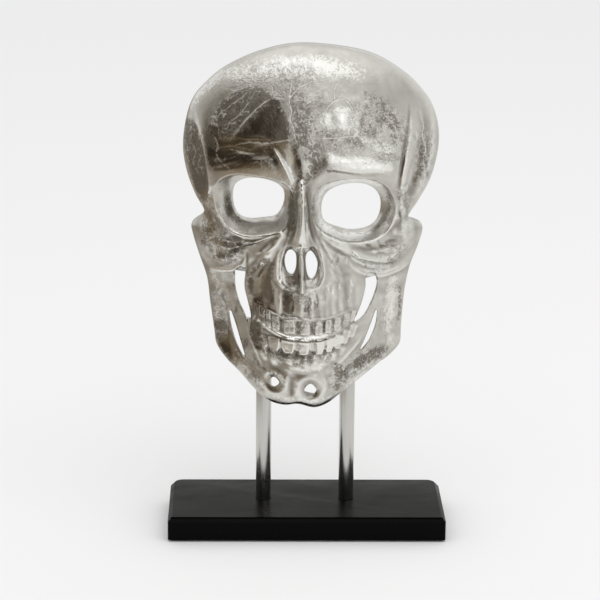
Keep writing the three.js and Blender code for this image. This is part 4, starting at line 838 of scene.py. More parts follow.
def skinDepth(x, z, inner=False):
    plain, ratio = headDepth(x, z)
    faded = carvedHeight(x, z, inner) * (1 - np.clip(ratio, 0, 1) ** head["edgePower"])
    sunk = sum(eyeShare(name, x, z, head["wall"] if inner else 0.0) for name in rimLoops) * head["eyeDepth"]
    depth = plain - faded + sunk
    return depth - head["innerLip"] * lipDrop(x, z) if inner else depth + lipDrop(x, z)


skullLow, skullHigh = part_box("skull_casting")
castScale = (skullHigh.x - skullLow.x) / head["castWidth"]
castStart = np.array([
    0.0, skullHigh.y - head["castBack"] * castScale, skullHigh.z - head["castTop"] * castScale])


def toFrame(points):
    # from millimetres on the casting to metres in the frame
    return points * castScale + castStart


def ringShares(count):
    # most rings lie even, and the last ones close up towards the rim
    t = np.arange(count + 1) / count
    even, past = t / head["rimRings"], (t - head["rimRings"]) / (1 - head["rimRings"])
    near = head["rimShare"] + (1 - head["rimShare"]) * np.sin(np.clip(past, 0, 1) * math.pi / 2)
    return np.where(t < head["rimRings"], head["rimShare"] * even, near)


def evenOutline():
    curve = outlineLoop["curve"]
    closed = np.vstack([curve, curve[:1]])
    gone = np.concatenate([[0], np.cumsum(np.hypot(*np.diff(closed[:, :2], axis=0).T))])
    at = np.linspace(0, gone[-1], head["spokes"], endpoint=False)
    return np.stack([np.interp(at, gone, column) for column in closed.T], axis=1)


def skullPoints():
    # every ring of the casting, from the middle of the face round the edge to the middle of the inside
    edge = evenOutline()
    middle = np.array(head["middle"])
    arms = edge[:, :2] - middle
    reach = np.hypot(*arms.T)
    wall = head["wall"]

    def rings(shares, inner):
        shrink = 1 - wall / reach if inner else np.ones(len(reach))
        flat = middle + arms[None] * (shares[:, None] * shrink[None])[..., None]
        x, z = flat[..., 0], flat[..., 1]
        depth = skinDepth(x, z, inner)
        if inner:
            outer = middle + arms[None] * shares[:, None, None]
            lag = headDepth(outer[..., 0], outer[..., 1])[0] - headDepth(x, z)[0]
            depth += wall * np.sqrt(1 - shares ** 2)[:, None] + np.maximum(lag, 0)
        return np.stack([x, depth, z], axis=-1)

    def sides(shares, inner):
        widest, behind, tuck = edge[:, 2], edge[:, 3], edge[:, 4]
        shares = shares[:, None]
        shrink = 1 - (tuck * shares ** 2 + (wall if inner else 0)) / reach
        flat = middle + arms[None] * shrink[..., None]
        return np.stack([flat[..., 0], widest + behind * shares, flat[..., 1]], axis=-1)

    return np.concatenate([
        rings(ringShares(head["frontRings"]), False),
        sides(np.arange(1, head["sideRings"] + 1) / head["sideRings"], False),
        sides(np.arange(head["innerSideRings"], 0, -1) / head["innerSideRings"], True),
        rings(ringShares(head["innerRings"])[::-1], True),
    ])


# what the material reads: a grid and two blurs in millimetres, with what each difference counts
relief = {
    "step": 0.8,
    "margin": 6.0,
    "onFace": 0.995,
    "fine": 1.5,
    "wide": 5.0,
    "fineFull": 0.32,
    "wideFull": 1.5,
    # share of darkening in the hollows: patina with painted shade
    "hollow": (0.35, 0.45),
    # share of paling on the ridges: painted highlights, with rubbed wear
    "crest": (0.6, 0.5),
    "behindStart": 1.2,
    "behindFull": 4.0,
    "veinReach": 2.6,
    "veinFade": 1.6,
    "noVein": 9.0,
}


def smoothField(field, weight, sigma):
    # Gaussian blur that leaves out what lies off the face
    rise = np.fft.fftfreq(field.shape[0])[:, None]
    run = np.fft.rfftfreq(field.shape[1])[None]
    keep = np.exp(-2 * (math.pi * sigma) ** 2 * (rise ** 2 + run ** 2))

    def blurred(values):
        return np.fft.irfft2(np.fft.rfft2(values) * keep, s=values.shape)

    return blurred(field * weight) / np.maximum(blurred(weight), 1e-3)


def reliefFields():
    # depth of the skin on a grid, with how far each place stands out of its surroundings
    step, margin = relief["step"], relief["margin"]
    low = outlineLoop["curve"][:, :2].min(0) - margin
    high = outlineLoop["curve"][:, :2].max(0) + margin
    gridX, gridZ = np.meshgrid(np.arange(low[0], high[0], step), np.arange(low[1], high[1], step))
    ratio, _ = readLoop(outlineLoop, gridX, gridZ)
    weight = np.where(ratio < relief["onFace"], 1.0, 0.0)
    carved = carvedHeight(gridX, gridZ)
    fields = {key: (carved - smoothField(carved, weight, relief[key] / step)) / relief[key + "Full"]
              for key in ("fine", "wide")}
    return low, step, {"depth": skinDepth(gridX, gridZ), **fields}


def readField(field, low, step, x, z):
    column = np.clip((x - low[0]) / step, 0, field.shape[1] - 1.001)
    row = np.clip((z - low[1]) / step, 0, field.shape[0] - 1.001)
    i, j = column.astype(int), row.astype(int)
    s, t = column - i, row - j
    return ((field[j, i] * (1 - s) + field[j, i + 1] * s) * (1 - t)
            + (field[j + 1, i] * (1 - s) + field[j + 1, i + 1] * s) * t)


def nearestVein(x, z):
    # signed distance to the nearest line in the skin, and how strongly it shows
    best, signed = np.full(x.shape, relief["noVein"]), np.full(x.shape, relief["noVein"])
    strength = np.zeros(x.shape)
    reach, fade = relief["veinReach"], relief["veinFade"]
    for _, points in readStrokes(veins, 3):
        rows = np.array([(a, b, 1, s) for a, b, s in points])
        near = isNear(x, z, rows, reach)
        away, value, side = nearestOnLine(x[near], z[near], rows)
        nearer = away < best[near]
        place = np.flatnonzero(near)[nearer]
        best[place] = away[nearer]
        signed[place] = (away * np.where(side > 0, 1, -1))[nearer]
        strength[place] = (value * np.clip(fade - fade * away / reach, 0, 1))[nearer]
    return signed, strength


def painted(x, z, text):
    return np.maximum.reduce([strokeHeight(x, z, kind, points) for kind, points in readStrokes(text)])


def paintSkull(piece):
    mesh = piece.data
    flat = np.empty(len(mesh.vertices) * 3)
    mesh.vertices.foreach_get("co", flat)
    x, depth, z = ((flat.reshape(-1, 3) - castStart) / castScale).T
    low, step, fields = reliefFields()
    skin, fine, wide = (readField(fields[key], low, step, x, z) for key in ("depth", "fine", "wide"))
    start, full = relief["behindStart"], relief["behindFull"]
    inside = smoothStep((depth - skin - start) / (full - start))
    front = 1 - inside
    signed, strength = nearestVein(x, z)
    (hollowFine, hollowWide), (crestFine, crestWide) = relief["hollow"], relief["crest"]
    values = {
        "inside": inside,
        # patina with painted shade in the hollows
        "hollow": front * np.clip(-hollowFine * fine - hollowWide * wide, 0, 1),
        # painted highlights on the ridges, with rubbed wear
        "crest": front * np.clip(crestFine * fine + crestWide * wide, 0, 1),
        "vein": signed,
        "veinShow": front * strength,
    }
    values.update({key: front * painted(x, z, text) for key, text in tones.items()})
    for key, column in values.items():
        layer = mesh.attributes.new(key, "FLOAT", "POINT")
        layer.data.foreach_set("value", column.astype(np.float32))


def prism(bm, points, low, high):
    corners = [bm.verts.new(toFrame(np.array([x, low, z]))) for x, z in points]
    face = bm.faces.new(corners)
    grown = bmesh.ops.extrude_face_region(bm, geom=[face])["geom"]
    offset = toFrame(np.array([0, high, 0])) - toFrame(np.array([0, low, 0]))
    bmesh.ops.translate(bm, verts=[v for v in grown if isinstance(v, bmesh.types.BMVert)], vec=offset)


def slotOutline(line):
    run = np.gradient(line[:, :2], axis=0)
    across = np.stack([-run[:, 1], run[:, 0]], axis=1) / np.hypot(*run.T)[:, None]
    left, right = line[:, :2] + across * line[:, 2:3], line[:, :2] - across * line[:, 2:3]
    return np.vstack([left, right[::-1]])


def holeCutters():
    bm = bmesh.new()
    outlines = [loop["curve"][:, :2] for loop in holeLoops.values()]
    for outline in outlines + [slotOutline(line) for line in slotLines]:
        prism(bm, outline, -head["cutReach"], head["cutReach"])
    bmesh.ops.recalc_face_normals(bm, faces=bm.faces)
    return meshObject("hole_cutters", bm)


def skullBall():
    points = toFrame(skullPoints())
    rows = len(points) - 1
    bm = bmesh.new()
    bmesh.ops.create_grid(bm, x_segments=head["spokes"], y_segments=rows, size=1)
    flat = (np.array([vertex.co for vertex in bm.verts]) + 1) / 2
    spoke = np.rint(flat[:, 0] * head["spokes"]).astype(int) % head["spokes"]
    row = np.rint(flat[:, 1] * rows).astype(int)
    for vertex, place in zip(bm.verts, points[row, spoke]):
        vertex.co = place
    bmesh.ops.remove_doubles(bm, verts=bm.verts, dist=millimetre / 1000)
    bmesh.ops.recalc_face_normals(bm, faces=bm.faces)
    return meshObject("skull", bm)


def makeSkull():
    piece = skullBall()
    print("skull ball", len(piece.data.vertices))
    boolean(piece, holeCutters(), "DIFFERENCE")
    print("skull holes cut", len(piece.data.polygons))
    return piece


# block, rods, screws and pads: sizes in millimetres, places from the frame

mount = {
    "socketWall": 2.4,
    "socketBackWall": 6.0,
    "socketHeight": 25.0,
    "socketFront": -14.0,
    "socketAbove": 5.0,
    "socketRound": 2.2,
    "gap": 0.3,
    "boreStart": 90.0,
    "boreTop": 0.3,
    "grubPast": 2.0,
    "boreRound": 48,
}
block = {
    "topBevel": 3.6,
    "backCorner": 11.0,
    "frontCorner": 2.2,
    "edgeRound": 0.45,
    "gap": 0.3,
    "counterboreDepth": 5.0,
    "roundSteps": 64,
}
rod = {"chamfer": 0.8, "edgeRound": 0.25, "screwBore": 2.8, "screwRoom": 0.5, "steps": 96}
screw = {"headHigh": 2.8, "shankRadius": 2.5, "hexAcross": 3.0, "hexDeep": 1.8, "edgeRound": 0.3, "steps": 48}
washer = {"hole": 5.6, "edgeRound": 0.15, "steps": 64}
grub = {"hexAcross": 2.5, "hexDeep": 1.8, "edgeRound": 0.3, "steps": 40}
pad = {"edgeRound": 0.4, "steps": 64}
sharpAngle = 25


def sizeOf(node):
    low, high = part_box(node)
    return low, high, (low + high) / 2, (high.x - low.x) / 2


def bevel(bm, edges, size, segments, clamp=False):
    bmesh.ops.bevel(bm, geom=edges, offset=size * millimetre, affect="EDGES", segments=segments,
                    profile=0.5, material=-1, clamp_overlap=clamp)


def softenEdges(bm, size, segments=2):
    steepest = math.radians(sharpAngle)
    sharp = [e for e in bm.edges if len(e.link_faces) == 2 and e.calc_face_angle(0) > steepest]
    bevel(bm, sharp, size, segments, clamp=True)


def turnedPiece(name, profile, centre, finish, segments=2, closed=False):
    # a profile of radius and height, turned round an upright line
    bm = bmesh.new()
    corners = [bm.verts.new((centre.x + radius, centre.y, height)) for radius, height in profile]
    pairs = list(zip(corners, corners[1:])) + ([(corners[-1], corners[0])] if closed else [])
    edges = [bm.edges.new(pair) for pair in pairs]
    bmesh.ops.spin(
        bm, geom=corners + edges, cent=(centre.x, centre.y, 0), axis=(0, 0, 1),
        angle=2 * math.pi, steps=finish["steps"], use_merge=True, use_duplicate=False)
    bmesh.ops.remove_doubles(bm, verts=bm.verts, dist=millimetre / 1000)
    bmesh.ops.recalc_face_normals(bm, faces=bm.faces)
    softenEdges(bm, finish["edgeRound"], segments)
    return meshObject(name, bm)


def cubeMesh(size, centre):
    bm = bmesh.new()
    bmesh.ops.create_cube(bm, size=1)
    bmesh.ops.scale(bm, verts=bm.verts, vec=size)
    bmesh.ops.translate(bm, verts=bm.verts, vec=centre)
    return bm


def bore(piece, centre, radius, low, high, steps, alongY=False):
    bm = bmesh.new()
    bmesh.ops.create_cone(
        bm, cap_ends=True, segments=steps, radius1=radius, radius2=radius, depth=high - low)
    middle = (centre.x, centre.y, (low + high) / 2)
    if alongY:
        bmesh.ops.rotate(bm, verts=bm.verts, matrix=Matrix.Rotation(math.radians(90), 3, "X"))
        middle = (centre.x, (low + high) / 2, centre.z)
    bmesh.ops.translate(bm, verts=bm.verts, vec=middle)
    boolean(piece, meshObject("bore", bm), "DIFFERENCE")


def hexBore(piece, centre, across, low, high):
    bore(piece, centre, across * millimetre / math.sqrt(3), low, high, 6)


def makeSocket(side):
    # the block of metal behind the jaw that holds a rod
    _, high, centre, radius = sizeOf(f"rod_{side}")
    radius += mount["gap"] * millimetre
    half = radius + mount["socketWall"] * millimetre
    back = radius + mount["socketBackWall"] * millimetre
    front = mount["socketFront"] * millimetre
    tall = mount["socketHeight"] * millimetre
    top = high.z + mount["socketAbove"] * millimetre
    bm = cubeMesh((2 * half, back - front, tall), (centre.x, centre.y + (back + front) / 2, top - tall / 2))
    bevel(bm, [e for e in bm.edges if all(v.co.y > centre.y for v in e.verts)], mount["socketRound"], 4)
    return meshObject(f"socket_{side}", bm)


def addSockets(piece):
    gap, steps = mount["gap"] * millimetre, mount["boreRound"]
    for side in ("left", "right"):
        boolean(piece, makeSocket(side), "UNION")
        low, high, centre, radius = sizeOf(f"rod_{side}")
        bore(piece, centre, radius + gap, low.z + mount["boreStart"] * millimetre,
             high.z + mount["boreTop"] * millimetre, steps)
        _, high, centre, radius = sizeOf(f"grub_screw_{side}")
        bore(piece, centre, radius + gap, 0, high.y + mount["grubPast"] * millimetre, steps, alongY=True)


def makeBlock():
    low, high, centre, _ = sizeOf("base_block")
    bm = cubeMesh(high - low, centre)
    for isBack, key, segments in ((True, "backCorner", 12), (False, "frontCorner", 5)):
        upright = [e for e in bm.edges if abs(e.verts[0].co.z - e.verts[1].co.z) > millimetre
                   and (e.verts[0].co.y > centre.y) == isBack]
        bevel(bm, upright, block[key], segments)
    rim = [e for e in bm.edges if all(v.co.z > high.z - millimetre / 10 for v in e.verts)]
    bevel(bm, rim, block["topBevel"], 1)
    softenEdges(bm, block["edgeRound"], 3)
    piece = meshObject("block", bm)
    gap, steps = block["gap"] * millimetre, block["roundSteps"]
    for side in ("left", "right"):
        rodLow, _, place, rodRadius = sizeOf(f"rod_{side}")
        washerRadius = sizeOf(f"base_washer_{side}")[3]
        for radius, start, end in (
                (rodRadius, rodLow.z - millimetre / 10, high.z + millimetre),
                (screw["shankRadius"] * millimetre, low.z - millimetre, high.z),
                (washerRadius, low.z - millimetre, low.z + block["counterboreDepth"] * millimetre)):
            bore(piece, place, radius + gap, start, end, steps)
    return piece


def makeRod(side):
    low, high, centre, radius = sizeOf(f"rod_{side}")
    chamfer, hole = rod["chamfer"] * millimetre, rod["screwBore"] * millimetre
    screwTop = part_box(f"base_screw_{side}")[1].z + rod["screwRoom"] * millimetre
    return turnedPiece(f"rod_{side}_bar", [
        (0, screwTop), (hole, screwTop), (hole, low.z), (radius, low.z), (radius, high.z - chamfer),
        (radius - chamfer, high.z), (0, high.z)], centre, rod)


def makeScrew(side):
    low, high, centre, radius = sizeOf(f"base_screw_{side}")
    shank, seat = screw["shankRadius"] * millimetre, low.z + screw["headHigh"] * millimetre
    piece = turnedPiece(f"base_screw_{side}_body", [
        (0, low.z), (radius, low.z), (radius, seat), (shank, seat), (shank, high.z),
        (0, high.z)], centre, screw)
    hexBore(piece, centre, screw["hexAcross"], low.z - millimetre, low.z + screw["hexDeep"] * millimetre)
    return piece


def makeWasher(side):
    low, high, centre, outer = sizeOf(f"base_washer_{side}")
    inner = washer["hole"] / 2 * millimetre
    return turnedPiece(f"base_washer_{side}_ring", [
        (inner, low.z), (outer, low.z), (outer, high.z), (inner, high.z)], centre, washer, closed=True)


def makeGrub(side):
    # turned upright, then laid along y with its key outwards
    low, high, centre, radius = sizeOf(f"grub_screw_{side}")
    length, origin = high.y - low.y, Vector((0, 0, 0))
    piece = turnedPiece(f"grub_screw_{side}_body", [(0, 0), (radius, 0), (radius, length), (0, length)],
                        origin, grub)
    hexBore(piece, origin, grub["hexAcross"], length - grub["hexDeep"] * millimetre, length + millimetre)
    piece.data.transform(
        Matrix.Translation((centre.x, low.y, centre.z)) @ Matrix.Rotation(math.radians(-90), 4, "X"))
    return piece


def makePad(node):
    low, high, centre, radius = sizeOf(node)
    return turnedPiece(f"{node}_disc", [(0, low.z), (radius, low.z), (radius, high.z), (0, high.z)],
                       centre, pad, segments=3)


# materials

cast = {
    "colour": (0.66, 0.65, 0.62),
    # colour of the painted highlights, painted glints and pale lines
    "pale": (0.90, 0.895, 0.875),
    # colour of patina and of painted shade and dark reflections
    "dark": (0.20, 0.178, 0.150),
    "warm": (0.46, 0.38, 0.27),
    "insideColour": (0.50, 0.49, 0.465),
    "roughness": 0.14,
    "roughHollow": 0.36,
    "roughInside": 0.42,
    "roughPatch": 0.15,
    "roughSpread": (0.8, 1.4),
    "cells": 75.0,
    "wander": 0.012,
    "veinHalf": 0.28,
    "veinSoft": 0.3,
    "veinWiggle": 2.6,
    "crackShow": 0.8,
    "fleckRagged": 2.2,
    "blotchRagged": 0.7,
    "hollowDark": 0.75,
    "grooveDark": 0.5,
    "patchDark": 0.85,
    "paleOverDark": 0.75,
    "darkMost": 0.94,
    "crestPale": 0.9,
    "warmSkin": 0.5,
    "bump": 0.6,
    "bumpHeight": 0.0004,
}
# scale, detail, roughness and distortion
castNoises = {
    "cloud": (42, 5, 0.6, 0.4),
    "blotch": (230, 6, 0.68, 0.6),
    "speck": (700, 4, 0.6),
    "fleck": (380, 3, 0.6, 0.8),
    "grain": (2600, 3, 0.6),
    "wander": (160, 4, 0.6),
    "crackBreaks": (95, 3),
    "wiggle": (420, 4, 0.65),
    "veinBreaks": (260, 3),
}
# where each measure begins and ends to count, and what it counts there if that isn't 0 and 1
castRamps = {
    "blotchIsland": (0.48, 0.56),
    "cloudIsland": (0.34, 0.52),
    "crackEdge": (0.015, 0.055, 1.0, 0.0),
    "crackBreaks": (0.46, 0.6),
    "crackMottled": (0.1, 0.6),
    "veinBreaks": (0.3, 0.5),
    "groove": (1.3, 0.5),
    "spot": (0.34, 0.58),
    "spotShare": (0.05, 0.3),
    "paleFull": (0.2, 0.9, 0.5, 1.0),
    "darkFull": (0.2, 0.9, 0.55, 1.0),
    "patchFleck": (0.36, 0.5),
    "glintSpeck": (0.56, 0.64),
    "glintDark": (0.2, 0.9, 0.85, 0.25),
    "cloudDark": (0.35, 0.7, 0.0, 0.25),
    "drawnDark": (0.2, 0.9, 1.0, 0.6),
    "roughBlotch": (0.3, 0.75),
}
# height of each noise in the bump: everywhere, more where mottled, more inside
castHeights = {
    "islands": (-0.1, -1.2),
    "speck": (0.35, 1.6),
    "blotch": (1.3, 3.2, 1.5),
    "grain": 0.08,
    "groove": -0.5,
}


def castMetal():
    # polished casting: hollows darkened by patina and painted shade, crests paled by painted highlights and
    # rubbed wear, mottled skin with painted glints, and raised veins
    material, nodes, shader = newMaterial("cast_metal")
    place = nodes.place()
    inside, hollow, crest, dark, warm, pale, mottled, vein, veinShow = (
        nodes.read("Attribute", "Fac", attribute_name=name) for name in
        ("inside", "hollow", "crest", "dark", "warm", "pale", "mottled", "vein", "veinShow"))

    def noise(name, **settings):
        return nodes.noise(place, *castNoises[name], **settings)

    def ramp(source, name):
        return nodes.ramp(source, *castRamps[name])

    def larger(a, b):
        return nodes.math("MAXIMUM", a, b)

    cloud, blotch, speck, fleck = (noise(name) for name in ("cloud", "blotch", "speck", "fleck"))
    islands = ramp(blotch, "blotchIsland") * ramp(cloud, "cloudIsland")

    # crackle: cell edges, wandering and broken, only where the skin is mottled
    wander = nodes.add("VectorMath", operation="MULTIPLY_ADD")
    for socket, value in zip(wander.inputs, (noise("wander", output="Color"), (cast["wander"],) * 3, place)):
        nodes.feed(socket, value)
    cells = nodes.add("TexVoronoi", feature="DISTANCE_TO_EDGE")
    away = nodes.fill(cells, "Distance", Scale=cast["cells"], Vector=Value(nodes, wander.outputs[0]))
    crack = ramp(away, "crackEdge") * ramp(noise("crackBreaks"), "crackBreaks")
    crack = crack * ramp(mottled, "crackMottled")

    # the drawn veins
    gap = nodes.math("ABSOLUTE", vein + (noise("wiggle") - 0.5) * cast["veinWiggle"])
    show = veinShow * ramp(noise("veinBreaks"), "veinBreaks")
    veinLine = nodes.ramp(gap, cast["veinHalf"], cast["veinHalf"] + cast["veinSoft"], 1.0, 0.0) * show
    groove = ramp(gap, "groove") * show
    lines = larger(veinLine, crack * cast["crackShow"])

    def spotted(share):
        # a painted share with a ragged edge
        ragged = (fleck - 0.5) * cast["fleckRagged"] + (blotch - 0.5) * cast["blotchRagged"]
        return ramp(share + ragged, "spot") * ramp(share, "spotShare")

    # painted highlights and reflections, with a ragged edge
    palePatch = spotted(pale) * ramp(pale, "paleFull")
    # patina with painted shade and painted dark reflections, with a ragged edge
    darkPatch = spotted(dark) * ramp(dark, "darkFull")
    patchy = mottled * islands * ramp(fleck, "patchFleck") * cast["patchDark"]
    # painted highlight specks in the mottled skin, fewer where painted dark
    glint = mottled * ramp(speck, "glintSpeck") * ramp(dark, "glintDark")
    # darkening: patina and painted shade in the hollows, the painted dark tone, the dark islands of the
    # mottled skin, and the grooves beside the lines
    darkShare = nodes.math("ADD", hollow * cast["hollowDark"], darkPatch, clamp=True)
    darkShare = larger(darkShare * (1.0 - palePatch * cast["paleOverDark"]), patchy)
    darkShare = nodes.math("MINIMUM", larger(darkShare, groove * cast["grooveDark"]), cast["darkMost"])
    # paling: painted highlights on the crests, with rubbed wear, and the painted pale tone
    paleShare = nodes.math("ADD", crest * cast["crestPale"], palePatch, clamp=True)
    skin = nodes.mix(ramp(cloud, "cloudDark"), cast["colour"], cast["dark"])
    skin = nodes.mix(paleShare, skin, cast["pale"])
    skin = nodes.mix(warm * cast["warmSkin"], skin, cast["warm"])
    skin = nodes.mix(darkShare, skin, nodes.mix(warm, cast["dark"], cast["warm"]))
    # pale lines in the skin, and the painted glints
    skin = nodes.mix(larger(lines * ramp(dark, "drawnDark"), glint), skin, cast["pale"])
    nodes.feed(shader.inputs["Base Color"], nodes.mix(inside, skin, cast["insideColour"]))

    plain = cast["roughness"]
    least, most = (plain * share for share in cast["roughSpread"])
    rough = nodes.ramp(blotch, *castRamps["roughBlotch"], least, most)
    rough = rough + hollow * (cast["roughHollow"] - plain) + patchy * cast["roughPatch"]
    rough = nodes.math("ADD", rough, inside * (cast["roughInside"] - plain), clamp=True)
    nodes.fill(shader, Roughness=rough, Metallic=1.0)

    high = castHeights
    height = lines + groove * high["groove"]
    height = height + islands * (mottled * high["islands"][1] + high["islands"][0])
    height = height + speck * (mottled * high["speck"][1] + high["speck"][0])
    plainHigh, mottledHigh, insideHigh = high["blotch"]
    height = height + blotch * (mottled * mottledHigh + (inside * insideHigh + plainHigh))
    height = height + noise("grain") * high["grain"]
    nodes.bump(shader, height, cast["bump"], cast["bumpHeight"])
    return material


# each finish: colour and the share of it that the second tone has, a noise stretched by grain that picks
# between the two, a noise that changes the roughness within its spread, and the bump of the first noise
finishes = {
    "satin_steel": {
        "colour": (0.68, 0.67, 0.66), "second": 0.8, "grain": ((1, 1, 0.012), 2600, 3), "pick": (0.3, 0.75),
        "cloud": ((1, 1, 0.3), 60, 3), "worn": (0.3, 0.7), "roughness": 0.21, "spread": (0.85, 1.2),
        "bump": (0.25, 0.00005),
    },
    "zinc_plate": {
        "colour": (0.55, 0.56, 0.57), "second": 0.7, "grain": ((1, 1, 1), 1800, 3), "pick": (0.35, 0.7),
        "worn": (0.3, 0.7), "roughness": 0.38, "spread": (0.8, 1.2), "bump": (0.15, 0.00003),
    },
}
finishes["black_oxide"] = {**finishes["zinc_plate"], "colour": (0.05, 0.05, 0.055), "roughness": 0.45}


def steel(name):
    material, nodes, shader = newMaterial(name)
    look = finishes[name]
    scale, *settings = look["grain"]
    grain = nodes.noise(nodes.place(scale), *settings)
    second = tuple(value * look["second"] for value in look["colour"])
    worn = grain
    if "cloud" in look:
        scale, *settings = look["cloud"]
        worn = nodes.noise(nodes.place(scale), *settings)
    least, most = (look["roughness"] * share for share in look["spread"])
    nodes.fill(
        shader, Base_Color=nodes.mix(nodes.ramp(grain, *look["pick"]), look["colour"], second),
        Roughness=nodes.ramp(worn, *look["worn"], least, most), Metallic=1.0)
    nodes.bump(shader, grain, *look["bump"])
    return material


lacquer = {
    "colour": (0.0018, 0.0018, 0.0022),
    "dusty": 3.4,
    "dust": (0.68, 0.8),
    "roughness": 0.30,
    "rubbed": (0.3, 0.75),
    "spread": (0.85, 1.25),
    "specular": 0.045,
    "peel": (0.08, 0.00008),
    "peelNoise": (420, 2),
    "dustNoise": (1500, 2),
    "rubbedNoise": (26, 5),
    "rubbedStretch": (1, 2.2, 1),
}


def lacqueredWood():
    # black satin lacquer with a faint orange peel, a little dust and rubbed patches
    material, nodes, shader = newMaterial("black_lacquer")
    place = nodes.place()
    peel, dust = (nodes.noise(place, *lacquer[key]) for key in ("peelNoise", "dustNoise"))
    rubbed = nodes.noise(nodes.place(lacquer["rubbedStretch"]), *lacquer["rubbedNoise"])
    dusty = tuple(value * lacquer["dusty"] for value in lacquer["colour"])
    least, most = (lacquer["roughness"] * share for share in lacquer["spread"])
    nodes.fill(
        shader, Base_Color=nodes.mix(nodes.ramp(dust, *lacquer["dust"]), lacquer["colour"], dusty),
        Roughness=nodes.ramp(rubbed, *lacquer["rubbed"], least, most),
        Specular_IOR_Level=lacquer["specular"])
    nodes.bump(shader, peel, *lacquer["peel"])
    return material


felt = {
    "colour": (0.02, 0.02, 0.02),
    "fibre": (0.05, 0.05, 0.05),
    "fibreScale": 2400,
    "pick": (0.4, 0.7),
    "sheen": 0.3,
    "bump": (0.6, 0.0002),
}


def blackFelt():
    material, nodes, shader = newMaterial("black_felt")
    fibres = nodes.noise(nodes.place(), felt["fibreScale"], detail=5, distortion=1.5)
    nodes.fill(
        shader, Base_Color=nodes.mix(nodes.ramp(fibres, *felt["pick"]), felt["colour"], felt["fibre"]),
        Roughness=1.0, Specular_IOR_Level=0.1, Sheen_Weight=felt["sheen"], Sheen_Roughness=0.5)
    nodes.bump(shader, fibres, *felt["bump"])
    return material


stage = {
    "floorColour": 0.875,
    "floorSize": 8.0,
    "plainLight": 0.945,
    "lampPower": 9.0,
    "lampSize": 1.6,
    "lampPlace": (0.5, -0.7, 2.2),
}
# what polished metal sees of the room: a dark end to the left, a pale end to the right, a bright ceiling
room = {
    "darkEnd": (0.190, 0.155, 0.115),
    "darkest": (0.085, 0.068, 0.050),
    "paleEnd": (0.68, 0.675, 0.645),
    "sideLeft": (0.54, 0.525, 0.49),
    "backLeft": (0.78, 0.77, 0.74),
    "backRight": (0.90, 0.895, 0.87),
    "ceiling": (1.08, 1.07, 1.04),
    "skylight": (1.36, 1.36, 1.335),
    "window": (1.55, 1.55, 1.52),
    "floorDark": (0.36, 0.32, 0.27),
    "floorPale": (0.73, 0.72, 0.69),
    "floorNear": (0.82, 0.812, 0.785),
}
# ramps run from where they begin to where they end; bands have a low end, a high end and a soft edge
roomPlaces = {
    "floorAcross": (-0.3, 0.06),
    "floorAway": (0.22, 0.5),
    "cloud": (2.6, 3),
    "cloudAside": 0.3,
    "cloudUp": 0.12,
    "darkAside": (-0.86, -0.25, 0.12),
    "darkUp": (0.12, 0.62, 0.12),
    "sideDepth": (-0.45, 0.0),
    "wallAside": (-0.28, 0.06),
    "tallAside": (0.11, 0.4, 0.05),
    "tallUp": (0.34, 0.6, 0.05),
    "lowAside": (0.25, 0.62, 0.08),
    "lowUp": (-0.1, 0.2, 0.06),
    "lowShare": 0.6,
    "paneDepth": (0.0, -0.15),
    "backAcross": (-0.2, 0.2),
    "backDepth": (0.05, 0.45),
    "skyAside": (-0.85, 0.1, 0.15),
    "skyDepth": (0.1, -0.1),
    "ceilingDip": (-0.5, 0.1, 0.1),
    "dipHeight": -0.1,
    "ceilingUp": (0.68, 0.86),
}


def makeStage():
    bm = bmesh.new()
    bmesh.ops.create_grid(bm, x_segments=1, y_segments=1, size=stage["floorSize"])
    floor = meshObject("floor", bm)
    material, nodes, shader = newMaterial("floor_paint")
    at = roomPlaces
    x, y, _ = nodes.split(nodes.read("TexCoord", "Object"))
    # glossy rays see a painted reflection of the room on the floor: pale near the middle, farther off dark to
    # the left and pale to the right; other rays see its even colour
    far = nodes.mix(nodes.ramp(x, *at["floorAcross"]), room["floorDark"], room["floorPale"])
    away = nodes.math("SQRT", x * x + y * y)
    seen = nodes.mix(nodes.ramp(away, *at["floorAway"]), room["floorNear"], far)
    glossy = nodes.read("LightPath", "Is Glossy Ray")
    colour = nodes.mix(glossy, (stage["floorColour"],) * 3, seen)
    nodes.fill(shader, Base_Color=colour, Roughness=1.0, Specular_IOR_Level=0.0)
    floor.data.materials.append(material)


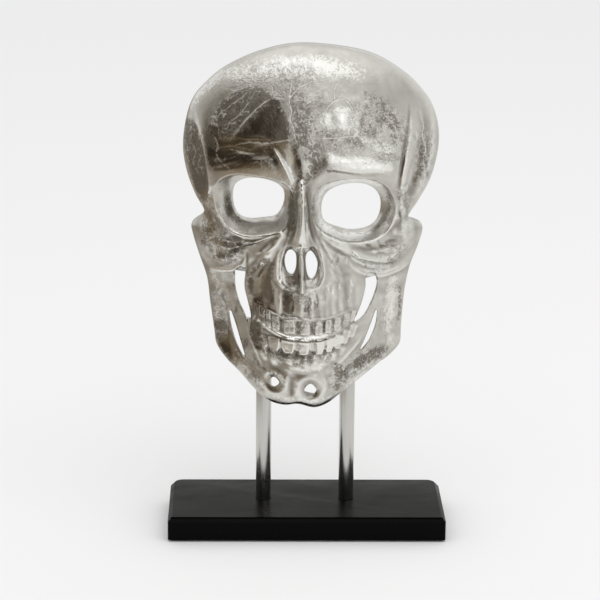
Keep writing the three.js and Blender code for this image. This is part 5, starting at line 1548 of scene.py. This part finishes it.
def studioWorld():
    world = bpy.data.worlds.new("studio")
    bpy.context.scene.world = world
    nodes, at = Nodes(world), roomPlaces
    mix, ramp, band = nodes.mix, nodes.ramp, nodes.band
    direction = nodes.read("TexCoord", "Generated")
    x, y, z = nodes.split(direction)
    cloud = nodes.noise(direction, *at["cloud"]) - 0.5
    aside = x / nodes.math("SQRT", 1.0 - z * z) + cloud * at["cloudAside"]
    height = z + cloud * at["cloudUp"]
    darkest = band(aside, *at["darkAside"]) * band(height, *at["darkUp"])
    left = mix(darkest, room["darkEnd"], room["darkest"])
    left = mix(ramp(y, *at["sideDepth"]), left, room["sideLeft"])
    wall = mix(ramp(aside, *at["wallAside"]), left, room["paleEnd"])
    tall = band(aside, *at["tallAside"]) * band(height, *at["tallUp"])
    low = band(aside, *at["lowAside"]) * band(height, *at["lowUp"])
    panes = nodes.math("MAXIMUM", tall, low * at["lowShare"]) * ramp(y, *at["paneDepth"])
    wall = mix(panes, wall, room["window"])
    back = mix(ramp(x, *at["backAcross"]), room["backLeft"], room["backRight"])
    wall = mix(ramp(y, *at["backDepth"]), wall, back)
    skylight = band(aside, *at["skyAside"]) * ramp(y, *at["skyDepth"])
    above = mix(skylight, room["ceiling"], room["skylight"])
    edge = height - band(aside, *at["ceilingDip"]) * at["dipHeight"]
    colour = mix(ramp(edge, *at["ceilingUp"]), wall, above)
    glossy, seen, through = (
        nodes.read("LightPath", f"Is {name} Ray") for name in ("Glossy", "Camera", "Transmission"))
    colour = mix(glossy, (stage["plainLight"],) * 3, colour)
    colour = mix(nodes.math("MAXIMUM", seen, through), colour, (1.0, 1.0, 1.0))
    nodes.feed(nodes.tree.nodes["Background"].inputs["Color"], colour)


def makeLamp():
    data = bpy.data.lights.new("soft_box", "AREA")
    data.energy = stage["lampPower"]
    data.size = stage["lampSize"]
    lamp = bpy.data.objects.new("soft_box", data)
    place = Vector(stage["lampPlace"])
    lamp.matrix_world = Matrix.Translation(place) @ (-place).to_track_quat("-Z", "Y").to_matrix().to_4x4()
    lamp.visible_glossy = False
    bpy.context.scene.collection.objects.link(lamp)


bpy.context.scene.view_settings.view_transform = "Standard"
makeCamera()
makeStage()
studioWorld()
makeLamp()
print("stage ready")
skullPiece = makeSkull()
addSockets(skullPiece)
paintSkull(skullPiece)
finishPiece(skullPiece, castMetal(), "cast_skull", "skull_casting")
print("skull ready")
finishPiece(makeBlock(), lacqueredWood(), "lacquered_wood", "base_block", smoothAngle=30)
satin, zinc, oxide, feltPaint = steel("satin_steel"), steel("zinc_plate"), steel("black_oxide"), blackFelt()
for side in ("left", "right"):
    finishPiece(makeRod(side), satin, "rod_steel", f"rod_{side}", smoothAngle=30)
    finishPiece(makeScrew(side), zinc, "screw_steel", f"base_screw_{side}", smoothAngle=30)
    finishPiece(makeWasher(side), zinc, "screw_steel", f"base_washer_{side}", smoothAngle=30)
    finishPiece(makeGrub(side), oxide, "black_steel", f"grub_screw_{side}", smoothAngle=30)
    for end in ("front", "back"):
        node = f"felt_pad_{end}_{side}"
        finishPiece(makePad(node), feltPaint, "felt", node, smoothAngle=30)
print("block, rods, screws and pads ready")
